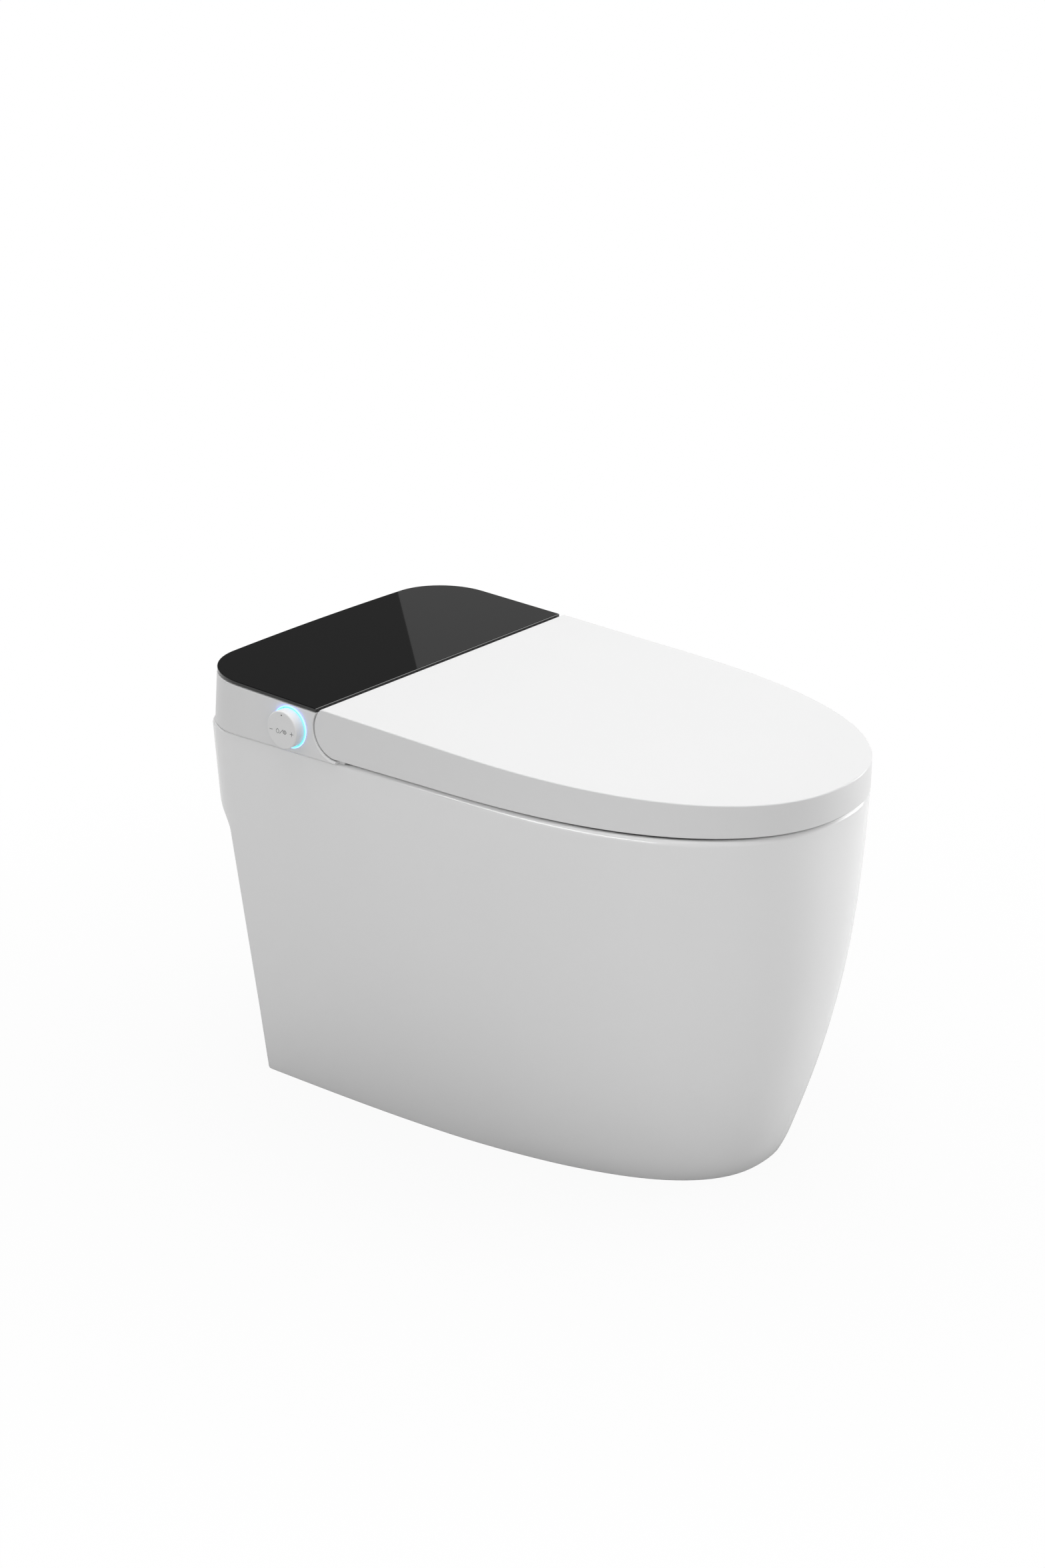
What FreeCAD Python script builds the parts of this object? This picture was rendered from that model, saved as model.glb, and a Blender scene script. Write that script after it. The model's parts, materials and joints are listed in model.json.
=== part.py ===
import FreeCAD, Part
import math
import os

os.makedirs("parts", exist_ok=True)
V = FreeCAD.Vector

# Frame: the floor is Z 0, the front is -Y, the origin is the centre of the drain outlet
glass_front_y = 108.0
glass_depth = 177.0
glass_rear_y = glass_front_y + glass_depth
side_half_width = 195.0
rim_z = 393.0

# Ceramic body: outline at the floor and at the rim
floor_half_width = 162.1
floor_start_y = 293.5
floor_tip_y = -311.4
floor_power_y = 3.53
floor_power_x = 2.40
rim_inset = 3.5
rim_half_width = side_half_width - rim_inset
rim_start_y = -66.0
rim_tip_y = -386.5
rim_power_y = 2.60
rim_power_x = 2.34
rim_edge_radius = 5.0
belly_start_power = 1.12
belly_end_power = 2.6
china_wall = 12.0
skirt_rear_floor_y = 222.0
skirt_rear_top_y = 243.0
skirt_corner_radius = 10.0
block_lap = 1.0
block_rear_y = glass_rear_y + block_lap
block_corner_radius = 66.0
well_depth = 91.0
well_floor_z = rim_z - well_depth
step_rise = 2.0
step_height = 28.0
step_high_z = well_floor_z + step_rise
step_low_z = step_high_z - step_height
step_levels = 5
skirt_levels = 6
front_steps = 14

# Bowl, drain trap and wells inside the ceramic
bowl_top_half_width = 132.0
bowl_rear_y = -4.0
bowl_front_y = -327.0
bowl_low_half_width = 30.0
bowl_low_rear_y = -112.0
bowl_low_front_y = -196.0
bowl_bottom_z = 64.0
bowl_wall = 11.0
trap_bore_radius = 26.0
trap_wall = 10.0
trap_crest_y = 30.0
trap_crest_z = 225.0
trap_crest_radius = 50.0
trap_rise_angle = 45.0
trap_rise_length = 160.0
trap_return_radius = 60.0
well_wall = 45.0
well_half_width = side_half_width - well_wall
well_front_y = glass_front_y - block_lap
well_rear_wall = 24.0
well_rear_y = block_rear_y - well_rear_wall
slot_half_width = 66.0
slot_depth = 67.0
slot_floor_z = rim_z - slot_depth
slot_front_y = -74.0
channel_front_y = -44.0
bowl_shape_power = 0.8
pipe_hole_lap = 30.0
pipe_hole_length = 275.0
recess_half_width = 150.0
recess_roof = 18.0
recess_top_z = well_floor_z - recess_roof
recess_front_y = 150.0

# Hinge line of seat and lid
hinge_setback = 25.6
hinge_y = glass_front_y - hinge_setback
lid_gap = 5.0
lid_bottom_z = rim_z + lid_gap
barrel_radius = 28.5
hinge_z = lid_bottom_z + barrel_radius
barrel_gap = 1.5
pin_radius = 4.0
bush_radius = 7.0
running_clearance = 0.05
side_gap = 0.5
eye_radius = 12.0
tower_inset = 83.0
tower_inner_x = side_half_width - tower_inset
tower_width = 28.0
tower_depth = 14.0
seat_eye_width = 16.0
lid_eye_width = 12.0
eye_gap = 2.0
spigot_radius = 13.0
spigot_length = 6.0
barrel_cover_radius = 15.5
damper_radius = 10.5
damper_length = 46.0
damper_socket = 1.0

# Lid
lid_wall = 4.0
lid_front_inset = 1.8
lid_front_half_width = side_half_width - lid_front_inset
lid_start_y = -35.8
lid_tip_y = -391.2
lid_power_y = 2.534
lid_power_x = 2.212
lid_rear_height = 49.96
lid_top_rear_z = lid_bottom_z + lid_rear_height
lid_top_slope = 0.0374
lid_lip_drop = 5.0
lid_notch_rise = 14.0
lid_notch_gap = 1.5

# Seat
seat_inset = 11.0
seat_lift = 0.6
seat_bottom_z = lid_bottom_z + seat_lift
seat_height = 20.4
seat_top_z = seat_bottom_z + seat_height
seat_wall = 3.0
seat_setback = 42.4
seat_rear_y = hinge_y - seat_setback
seat_round = 5.0
seat_hole_half_width = 108.0
seat_hole_front_y = -296.0
seat_hole_rear_y = -38.0
seat_plate_clearance = 0.3
seat_film = 0.6
buffer_gap = 0.2
buffer_length = 34.0
buffer_width = 12.0
lid_buffer_radius = 7.0
lid_buffer_inset = 45.0
lid_buffer_places = ((70.0, -325.0), (side_half_width - lid_buffer_inset, -20.0))
seat_buffer_inset = 39.0
seat_buffer_side_x = side_half_width - seat_buffer_inset
seat_buffer_side_y = -90.0
seat_buffer_front_x = 60.0
seat_buffer_front_y = -347.0
seat_arm_lap = 15.0

# Rear housing, glass and chassis
deck_gap = 0.2
chassis_bottom_z = rim_z + deck_gap
chassis_thickness = 2.8
chassis_inset = 7.0
chassis_front_y = -8.0
housing_gap = 2.2
housing_bottom_z = rim_z + housing_gap
housing_wall = 3.0
housing_flare = 1.5
housing_rear_flare = 4.0
housing_corner_radius = 66.0
housing_rear_bow = 2.6
flange_width = 12.0
flange_thickness = 2.5
gasket_thickness = 0.8
glass_thickness = 4.0
glass_front_height = 49.1
glass_front_top_z = lid_bottom_z + glass_front_height
glass_slope = 0.0407
opening_left_inset = 85.0
opening_left_x = opening_left_inset - side_half_width
opening_right_inset = 103.0
opening_right_x = side_half_width - opening_right_inset
opening_front_lap = 4.4
opening_front_y = hinge_y - opening_front_lap
opening_rear_wall = 30.0
opening_rear_y = glass_rear_y - opening_rear_wall
post_radius = 4.5
screw_radius = 1.6
screw_head_radius = 3.2
screw_head_height = 1.6
screw_length = 14.0
plug_radius = 6.0
bolt_radius = 3.0
bolt_head_radius = 6.0
bolt_head_height = 4.0
bolt_inset = 27.0
bolt_x = side_half_width - bolt_inset
bolt_front_setback = 8.0
bolt_front_y = well_front_y + bolt_front_setback
bolt_rear_setback = 50.0
bolt_rear_y = well_rear_y - bolt_rear_setback
plug_length = 18.0
plug_hole_depth = 30.0
screw_setback = 72.0
screw_side_y = glass_front_y + screw_setback
screw_rear_x = 70.0
gasket_edge = 4.0
apron_margin = 10.0

# Control knob
knob_setback = 35.0
knob_y = glass_front_y + knob_setback
knob_height = 24.8
knob_z = housing_bottom_z + knob_height
knob_radius = 20.0
knob_reach = 12.5
knob_skirt_depth = 10.0
knob_wall = 2.5
knob_travel = 2.0
ring_radius = 22.2
ring_proud = 0.8
ring_clearance = 0.4
base_depth = 14.0
base_floor = 3.0
knob_shaft_radius = 3.0
rotor_radius = 5.0
encoder_half_size = 9.0
encoder_depth = 12.0
encoder_end_wall = 2.0
shaft_end_gap = 1.0

# Spray unit, laid out along its own axis and then tilted
spray_tip_y = 2.0
spray_tip_drop = 38.1
spray_tip_z = rim_z - spray_tip_drop
spray_tilt = 16.0
wand_x = -24.0
wand_radius = 8.0
wand_bore_radius = 3.0
wand_length = 230.0
wand_travel = 105.0
tip_length = 12.0
jet_radius = 0.9
jet_pitch = 2.5
jet_at = 6.5
guide_radius = 11.0
guide_length = 85.0
tray_length = 138.0
tray_thickness = 3.0
tray_embed = 2.0
pinion_root_gap = 0.2
gear_module = 1.0
pinion_teeth = 12
pinion_at = 116.0
gear_face = 6.0
gear_backlash = 0.35
rack_margin = 6.0
rack_embed = 2.0
motor_radius = 11.0
motor_length = 20.0
motor_shaft_radius = 2.0
shroud_half_width = 63.5
shroud_low = -24.0
shroud_high = 45.0
shroud_depth = 45.0
shroud_wall = 2.5

# Warm air dryer beside the spray unit
duct_left_x = 17.0
duct_right_x = 59.0
duct_low = -14.0
duct_high = 12.0
duct_length = 112.0
duct_wall = 2.0
fan_radius = 42.0
fan_at = 152.0
fan_wheel_radius = 34.0
fan_wheel_inner = 22.0
fan_blades = 20
fan_blade = 1.2
fan_inlet_radius = 20.0
fan_hub_radius = 8.0
fan_shaft_radius = 3.0
fan_motor_radius = 20.0
fan_motor_length = 28.0
flap_thickness = 1.5
flap_pin_radius = 1.5
flap_clearance = 0.5
flap_lap = 1.0
flap_axis_y = -2.0
flap_axis_rise = 3.5
lug_width = 3.5
lug_half_height = 3.0
fan_foot_inset = 8.0
fan_foot_half_depth = 12.0
wheel_side_gap = 3.0
wheel_plate = 2.0
blade_tip_gap = 0.3

# Water parts
inlet_inset = 32.0
inlet_x = inlet_inset - well_half_width
inlet_setback = 108.0
inlet_y = well_front_y + inlet_setback
inlet_thread_radius = 10.48
inlet_thread_length = 18.0
inlet_shank_radius = 9.0
inlet_flange_radius = 15.0
pump_inset = 36.0
pump_x = well_half_width - pump_inset
pump_setback = 78.0
pump_y = well_front_y + pump_setback
pump_radius = 22.0
pump_height = 66.0
pipe_offset = 10.0
pipe_x = pump_x - pipe_offset
pipe_drop = 48.0
pipe_z = rim_z - pipe_drop
pipe_radius = 12.0
pipe_wall = 3.0
hose_radius = 5.0
gland_x = 70.0
gland_setback = 109.0
gland_y = well_front_y + gland_setback
gland_radius = 9.0
seal_radius = 52.0
seal_height = 16.0
seal_gap = 0.5
pipe_socket = 15.0
pipe_front_y = -66.0
pipe_clearance = 0.4
inlet_clearance = 0.5
inlet_flange_thickness = 8.0
inlet_thread_wall = 4.0
gland_clearance = 0.2
gland_flange_width = 4.0
gland_flange_thickness = 6.0
gland_nut_thickness = 4.0
cord_radius = 4.0
heater_inset = 52.0
heater_left_x = heater_inset - well_half_width
heater_width = 50.0
heater_right_x = heater_left_x + heater_width
heater_setback = 39.0
heater_front_y = well_front_y + heater_setback
heater_length = 94.0
heater_rear_y = heater_front_y + heater_length
heater_height = 50.0
heater_top_z = well_floor_z + heater_height
valve_height = 46.0
valve_top_z = well_floor_z + valve_height
valve_half_width = 18.0
valve_half_depth = 23.0
spray_valve_gap = 8.0
spray_valve_rear_y = heater_front_y - spray_valve_gap
spray_valve_depth = 26.0
spray_valve_inset = 8.0
hose_bend = 12.0
hose_rear_gap = 2.0

# Control board with its parts from its front left corner, power supply and deodoriser
board_lift = 5.0
board_z = chassis_bottom_z + chassis_thickness + board_lift
board_thickness = 1.6
board_inset = 19.0
board_right_x = side_half_width - board_inset
board_width = 76.0
board_left_x = board_right_x - board_width
board_setback = 17.0
board_front_y = glass_front_y + board_setback
board_length = 125.0
board_rear_y = board_front_y + board_length
board_margin = 1.0
relay_size = (18.0, 20.0, 14.0)
relay_x = 10.0
relay_y = 15.0
chip_size = (28.0, 20.0, 9.0)
chip_x = 40.0
chip_y = 25.0
plug_strip_size = (12.0, 42.0, 8.0)
plug_strip_x = 12.0
plug_strip_y = 65.0
capacitor_radius = 8.0
capacitor_height = 22.0
capacitor_x = 52.0
capacitor_y = 80.0
supply_size = (42.0, 50.0, 38.0)
supply_inset = 37.0
supply_x = supply_inset - side_half_width
supply_setback = 64.0
supply_y = glass_front_y + supply_setback
filter_size = (50.0, 36.0, 30.0)
filter_inset = 31.0
filter_x = filter_inset - side_half_width
filter_setback = 120.0
filter_y = glass_front_y + filter_setback
filter_cap_radius = 12.0
filter_cap_height = 6.0
display_half_width = 45.0
display_setback = 62.0
display_front_y = glass_front_y + display_setback
display_depth = 45.0
display_rear_y = display_front_y + display_depth

# Cutting solids run past the piece by this much
overrun = 10.0
prism_height = 200.0


def mix(low, high, share):
    return low + (high - low) * share


def box(x0, x1, y0, y1, z0, z1):
    return Part.makeBox(x1 - x0, y1 - y0, z1 - z0, V(x0, y0, z0))


def rod(radius, length, start, direction):
    return Part.makeCylinder(radius, length, start, direction)


def rod_x(radius, x0, x1, y, z):
    return rod(radius, x1 - x0, V(x0, y, z), V(1, 0, 0))


def rod_z(radius, z0, z1, x, y):
    return rod(radius, z1 - z0, V(x, y, z0), V(0, 0, 1))


def mirrored(shape):
    return shape.mirror(V(0, 0, 0), V(1, 0, 0))


def both_sides(shape):
    return shape.fuse(mirrored(shape))


def group(solids):
    return Part.makeCompound(solids)


def joined(first, others):
    return first.fuse(others).removeSplitter()


def save(name, shape):
    shape.exportStep("parts/" + name + ".step")


def side_prism(edges, x0, x1):
    face = Part.Face(Part.Wire(edges))
    return face.extrude(V(x1 - x0, 0, 0)).translated(V(x0, 0, 0))


def side_polygon(points, x0, x1):
    corners = [V(0, y, z) for y, z in points]
    return side_prism(Part.makePolygon(corners + corners[:1]).Edges, x0, x1)


def slab(top_z, slope, thickness):
    reach = 700.0
    low_y = glass_front_y - reach
    high_y = glass_front_y + reach
    top_low = top_z - reach * slope
    top_high = top_z + reach * slope
    points = [(low_y, top_low), (high_y, top_high)]
    points += [(high_y, top_high - thickness), (low_y, top_low - thickness)]
    return side_polygon(points, -reach, reach)


# Plan outline shared by the rounded fronts
def outline_x(y, width, start_y, tip_y, power_y, power_x):
    share = (start_y - y) / (start_y - tip_y)
    share = min(max(share, 0.0), 1.0)
    return width * (1.0 - share ** power_y) ** (1.0 / power_x)


def front_points(z, width_at, rear_y, tip_y):
    points = []
    for step in range(-front_steps, front_steps + 1):
        turn = (1.0 - abs(step) / front_steps) * math.pi / 2
        y = rear_y + (tip_y - rear_y) * math.sin(turn)
        x = math.copysign(width_at(y), step) if step else 0.0
        points.append(V(x, y, z))
    return points


def front_edge(points):
    count = len(points) - 1
    curve = Part.BSplineCurve()
    curve.interpolate(Points=points, Parameters=[k / count for k in range(count + 1)])
    return curve.toShape()


def plan_face(z, width_at, rear_y, tip_y):
    points = front_points(z, width_at, rear_y, tip_y)
    edges = [front_edge(points), Part.makeLine(points[-1], points[0])]
    return Part.Face(Part.Wire(edges))


# Ceramic body
def body_rear(z):
    if z <= step_low_z:
        return mix(skirt_rear_floor_y, skirt_rear_top_y, z / step_low_z), skirt_corner_radius
    share = min((z - step_low_z) / (step_high_z - step_low_z), 1.0)
    share = share * share * (3.0 - 2.0 * share)
    rear = mix(skirt_rear_top_y, block_rear_y, share)
    return rear, mix(skirt_corner_radius, block_corner_radius, share)


def body_section(z, inset):
    share = max(z, 0.0) / rim_z
    belly = 1.0 - (1.0 - share ** belly_start_power) ** belly_end_power
    width = mix(floor_half_width, rim_half_width, share) - inset
    start_y = mix(floor_start_y, rim_start_y, share)
    tip_y = mix(floor_tip_y, rim_tip_y, belly) + inset
    power_y = mix(floor_power_y, rim_power_y, share)
    power_x = mix(floor_power_x, rim_power_x, share)
    rear_y, corner = body_rear(max(z, 0.0))
    rear_y -= inset
    corner = max(corner - inset, rim_edge_radius)
    side_y = rear_y - corner

    def width_at(y):
        flare = max(y - start_y, 0.0) / (block_rear_y - start_y)
        extra = (side_half_width - rim_half_width) * share * flare
        return outline_x(y, width, start_y, tip_y, power_y, power_x) + extra

    points = front_points(z, width_at, side_y, tip_y)
    side_x = points[-1].x
    middle = corner * math.sqrt(0.5)
    right = V(side_x - corner, rear_y, z)
    left = V(corner - side_x, rear_y, z)
    right_middle = V(side_x - corner + middle, side_y + middle, z)
    left_middle = V(corner - side_x - middle, side_y + middle, z)
    edges = [front_edge(points)]
    edges.append(Part.Arc(points[-1], right_middle, right).toShape())
    edges.append(Part.makeLine(right, left))
    edges.append(Part.Arc(left, left_middle, points[0]).toShape())
    return Part.Wire(edges)


def body_levels(bottom_z, top_z):
    levels = [bottom_z]
    for step in range(1, skirt_levels):
        levels.append(step_low_z * step / skirt_levels)
    for step in range(step_levels + 1):
        levels.append(mix(step_low_z, step_high_z, step / step_levels))
    return levels + [mix(step_high_z, top_z, 0.5), top_z]


def body_solid():
    edge_z = rim_z - rim_edge_radius
    sections = [body_section(z, 0.0) for z in body_levels(0.0, edge_z)]
    for turn in (30.0, 60.0, 90.0):
        rise = rim_edge_radius * math.sin(math.radians(turn))
        inset = rim_edge_radius * (1.0 - math.cos(math.radians(turn)))
        sections.append(body_section(edge_z + rise, inset))
    return Part.makeLoft(sections, True, True)


def body_hollow():
    top_z = rim_z - china_wall
    sections = [body_section(z, china_wall) for z in body_levels(-china_wall, top_z)]
    return Part.makeLoft(sections, True, True)


def bowl_solid(wall):
    sections = []
    for level in (0.0, 0.25, 0.5, 0.75, 1.0):
        share = level ** bowl_shape_power
        z = mix(bowl_bottom_z - wall, rim_z, level)
        half_x = mix(bowl_low_half_width, bowl_top_half_width, share) + wall
        rear_y = mix(bowl_low_rear_y, bowl_rear_y, share) + wall
        front_y = mix(bowl_low_front_y, bowl_front_y, share) - wall
        half_y = (rear_y - front_y) / 2
        middle = V(0, (rear_y + front_y) / 2, z)
        if half_y > half_x:
            ellipse = Part.Ellipse(middle + V(0, half_y, 0), middle + V(half_x, 0, 0), middle)
        else:
            ellipse = Part.Ellipse(middle + V(half_x, 0, 0), middle + V(0, half_y, 0), middle)
        sections.append(Part.Wire(ellipse.toShape()))
    return Part.makeLoft(sections, True)


def trap_path():
    rise = math.radians(trap_rise_angle)
    centre = V(0, trap_crest_y, trap_crest_z - trap_crest_radius)
    rise_end = centre + V(0, -math.sin(rise), math.cos(rise)) * trap_crest_radius
    rise_start = rise_end - V(0, math.cos(rise), math.sin(rise)) * trap_rise_length
    half = (math.pi / 2 + rise) / 2
    crest = centre + V(0, math.cos(half), math.sin(half)) * trap_crest_radius
    crest_end = centre + V(0, trap_crest_radius, 0)
    shift = crest_end.y
    turn = math.acos(1.0 - shift / 2 / trap_return_radius)
    upper = crest_end - V(0, trap_return_radius, 0)
    bend = upper + V(0, math.cos(turn), -math.sin(turn)) * trap_return_radius
    upper_middle = upper + V(0, math.cos(turn / 2), -math.sin(turn / 2)) * trap_return_radius
    drop_start = V(0, 0, crest_end.z - 2 * trap_return_radius * math.sin(turn))
    lower = drop_start + V(0, trap_return_radius, 0)
    lower_middle = lower + V(0, -math.cos(turn / 2), math.sin(turn / 2)) * trap_return_radius
    edges = [Part.makeLine(rise_start, rise_end)]
    edges.append(Part.Arc(rise_end, crest, crest_end).toShape())
    edges.append(Part.Arc(crest_end, upper_middle, bend).toShape())
    edges.append(Part.Arc(bend, lower_middle, drop_start).toShape())
    edges.append(Part.makeLine(drop_start, V(0, 0, 0)))
    return Part.Wire(edges), rise_start, V(0, math.cos(rise), math.sin(rise))


def trap_solid(radius):
    path, start, heading = trap_path()
    ring = Part.Wire(Part.makeCircle(radius, start, heading))
    return path.makePipeShell([ring], True, False)


shelf_bottom_z = well_floor_z - china_wall


def bolt_places():
    return [(side * bolt_x, y) for side in (-1, 1) for y in (bolt_front_y, bolt_rear_y)]


def under_deck():
    reach = 2 * side_half_width
    return box(-reach, reach, -2 * reach, reach, -overrun, rim_z - china_wall)


def trap_outer():
    return trap_solid(trap_bore_radius + trap_wall)


def bowl_outer():
    return bowl_solid(bowl_wall).common(under_deck())


def bowl_cuts():
    above = rim_z + overrun
    slot = box(-slot_half_width, slot_half_width, slot_front_y, well_front_y + overrun, slot_floor_z, above)
    pipe_start = V(pipe_x, well_front_y + pipe_hole_lap, pipe_z)
    pipe = rod(pipe_radius + pipe_clearance, pipe_hole_length, pipe_start, V(0, -1, 0))
    return [bowl_solid(0.0), trap_solid(trap_bore_radius), slot, pipe]


def ceramic_bowl():
    return bowl_outer().cut(bowl_cuts())


def ceramic_trap():
    return trap_outer().cut([trap_solid(trap_bore_radius), bowl_outer()])


def slot_channel(top_z):
    half_width = slot_half_width + china_wall
    return box(-half_width, half_width, channel_front_y, well_front_y, slot_floor_z - china_wall, top_z)


def rear_zone():
    reach = 2 * side_half_width
    zone = box(-reach, reach, well_front_y - china_wall, reach, -overrun, rim_z + overrun)
    return zone.fuse(slot_channel(rim_z - china_wall))


def china_shell():
    outer = body_solid()
    wall = china_wall
    under_rim = rim_z - wall / 2
    shelf = box(-side_half_width, side_half_width, well_front_y - wall, block_rear_y,
                shelf_bottom_z, well_floor_z)
    front = box(-side_half_width, side_half_width, well_front_y - wall, well_front_y,
                shelf_bottom_z, under_rim)
    inside = [piece.common(outer) for piece in (shelf, front, slot_channel(under_rim))]
    china = outer.cut(body_hollow()).fuse(inside)
    well = box(-well_half_width, well_half_width, well_front_y, well_rear_y, well_floor_z, rim_z + overrun)
    recess = box(-recess_half_width, recess_half_width, recess_front_y, block_rear_y, -overrun, recess_top_z)
    cuts = [bowl_outer(), trap_outer(), well, recess] + bowl_cuts()
    low = shelf_bottom_z - overrun
    high = well_floor_z + overrun
    cuts.append(rod_z(inlet_shank_radius + inlet_clearance, low, high, inlet_x, inlet_y))
    cuts.append(rod_z(gland_radius, low, high, gland_x, gland_y))
    for x, y in bolt_places():
        cuts.append(rod_z(plug_radius, rim_z - plug_hole_depth, rim_z + overrun, x, y))
    return china.cut(cuts)


# Hinge pieces along the shared axis, right-hand side first
tower_outer_x = tower_inner_x + tower_width
seat_eye_x = tower_outer_x + eye_gap
lid_eye_x = seat_eye_x + seat_eye_width + eye_gap
lid_eye_end_x = lid_eye_x + lid_eye_width
chassis_top_z = chassis_bottom_z + chassis_thickness


def on_hinge(radius, x0, x1):
    return rod_x(radius, x0, x1, hinge_y, hinge_z)


def bushes(x0, x1):
    ring = on_hinge(bush_radius, x0, x1).cut(on_hinge(pin_radius + running_clearance, x0, x1))
    return group([ring, mirrored(ring)])


def hinge_pins():
    pin = on_hinge(pin_radius, tower_inner_x - spigot_length, lid_eye_end_x)
    return group([pin, mirrored(pin)])


def hinge_barrel_cover():
    length = tower_inner_x
    return on_hinge(barrel_cover_radius, -length, length).cut(on_hinge(spigot_radius, -length, length))


def damper(side):
    end = tower_inner_x - spigot_length
    body = on_hinge(damper_radius, end - damper_length, end)
    body = body.cut(on_hinge(pin_radius, end - damper_socket, end))
    return body if side > 0 else mirrored(body)


# Lid
def lid_width_at(y, inset):
    share = (glass_front_y - y) / (glass_front_y - lid_start_y)
    share = min(max(share, 0.0), 1.0)
    width = mix(side_half_width, lid_front_half_width, share) - inset
    return outline_x(y, width, lid_start_y, lid_tip_y + inset, lid_power_y, lid_power_x)


def lid_plan(inset, rear_y, z0, z1):
    face = plan_face(z0, lambda y: lid_width_at(y, inset), rear_y, lid_tip_y + inset)
    return face.extrude(V(0, 0, z1 - z0))


def lid_top(y):
    return lid_top_rear_z + lid_top_slope * (y - glass_front_y)


def round_end(radius, drop):
    rise = lid_top(hinge_y) - drop - hinge_z
    steep = 1.0 + lid_top_slope ** 2
    reach = math.sqrt(radius ** 2 * steep - rise ** 2)
    return (reach - lid_top_slope * rise) / steep


def hinge_point(radius, angle):
    return V(0, hinge_y + radius * math.cos(angle), hinge_z + radius * math.sin(angle))


def lid_profile():
    front_y = lid_tip_y - overrun
    end = round_end(barrel_radius, 0.0)
    top_rear = V(0, hinge_y + end, lid_top(hinge_y + end))
    bottom = V(0, hinge_y, lid_bottom_z)
    corners = [V(0, front_y, lid_top(front_y)), V(0, front_y, lid_bottom_z)]
    edges = [Part.Arc(bottom, hinge_point(barrel_radius, 0.0), top_rear).toShape()]
    edges.append(Part.makeLine(top_rear, corners[0]))
    edges.append(Part.makeLine(corners[0], corners[1]))
    edges.append(Part.makeLine(corners[1], bottom))
    return side_prism(edges, -2 * side_half_width, 2 * side_half_width)


def lid_cavity():
    radius = barrel_radius - lid_wall
    front_y = lid_tip_y - overrun
    rear_y = hinge_y + 2 * barrel_radius
    end = round_end(radius, lid_wall)
    top_rear = V(0, hinge_y + end, lid_top(hinge_y + end) - lid_wall)
    low = -math.asin(lid_lip_drop / radius)
    high = math.atan2(top_rear.z - hinge_z, end)
    lip = hinge_point(radius, low)
    corners = [V(0, front_y, lid_top(front_y) - lid_wall), V(0, front_y, lid_bottom_z - overrun)]
    corners += [V(0, rear_y, lid_bottom_z - overrun), V(0, rear_y, lip.z)]
    edges = [Part.Arc(lip, hinge_point(radius, (low + high) / 2), top_rear).toShape()]
    path = [top_rear] + corners + [lip]
    edges += [Part.makeLine(path[k], path[k + 1]) for k in range(len(path) - 1)]
    room = side_prism(edges, -2 * side_half_width, 2 * side_half_width)
    return room.common(lid_plan(lid_wall, rear_y, lid_bottom_z - overrun, lid_top_rear_z + overrun))


def lid_shell(cavity):
    rear_y = hinge_y + 2 * barrel_radius
    outer = lid_profile().common(lid_plan(0.0, rear_y, lid_bottom_z - overrun, lid_top_rear_z + overrun))
    notch = box(tower_inner_x - lid_notch_gap, tower_outer_x + lid_notch_gap, hinge_y, rear_y,
                lid_bottom_z - overrun, hinge_z + lid_notch_rise)
    rib = box(lid_eye_x, lid_eye_end_x, hinge_y - eye_radius, hinge_y + eye_radius,
              hinge_z, lid_top_rear_z).common(outer)
    eye = rib.fuse(on_hinge(eye_radius, lid_eye_x, lid_eye_end_x))
    eye = eye.cut(on_hinge(bush_radius, lid_eye_x, lid_eye_end_x))
    shell = outer.cut([cavity, both_sides(notch)])
    return joined(shell, [eye, mirrored(eye)])


def lid_buffers(cavity):
    pads = []
    for x, y in lid_buffer_places:
        pad = rod_z(lid_buffer_radius, seat_top_z + buffer_gap, lid_top_rear_z, x, y).common(cavity)
        pads += [pad, mirrored(pad)]
    return group(pads)


# Seat
def seat_ring(inset, z0, z1):
    outer_inset = seat_inset + inset
    rear_y = seat_rear_y - inset
    face = plan_face(z0, lambda y: lid_width_at(y, outer_inset), rear_y, lid_tip_y + outer_inset)
    half_y = (seat_hole_rear_y - seat_hole_front_y) / 2 + inset
    middle = V(0, (seat_hole_rear_y + seat_hole_front_y) / 2, z0)
    sides = V(seat_hole_half_width + inset, 0, 0)
    hole = Part.Ellipse(middle + V(0, half_y, 0), middle + sides, middle)
    ring = face.cut(Part.Face(Part.Wire(hole.toShape())))
    return ring.extrude(V(0, 0, z1 - z0)).Solids[0]


def top_edges(shape, z):
    return [edge for edge in shape.Edges if min(v.Z for v in edge.Vertexes) > z - 0.01]


def seat_upper_shell():
    ring = seat_ring(0.0, seat_bottom_z, seat_top_z)
    ring = ring.makeFillet(seat_round, top_edges(ring, seat_top_z))
    ring = ring.cut(seat_ring(seat_wall, seat_bottom_z - overrun, seat_top_z - seat_wall))
    arm_front = seat_rear_y - seat_arm_lap
    arm = [(arm_front, seat_bottom_z + 2 * seat_wall), (arm_front, seat_top_z - seat_wall / 2)]
    arm += [(hinge_y, hinge_z + eye_radius), (hinge_y, hinge_z - eye_radius)]
    end_x = seat_eye_x + seat_eye_width
    eye = side_polygon(arm, seat_eye_x, end_x).fuse(on_hinge(eye_radius, seat_eye_x, end_x))
    eye = eye.cut(on_hinge(bush_radius, seat_eye_x, end_x))
    return joined(ring, [eye, mirrored(eye)])


def seat_lower_plate():
    return seat_ring(seat_wall + seat_plate_clearance, seat_bottom_z, seat_bottom_z + seat_wall)


def seat_heater(shell):
    top = seat_top_z - seat_wall
    return seat_ring(2 * seat_wall, top - seat_film, top).cut(shell).Solids[0]


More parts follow.
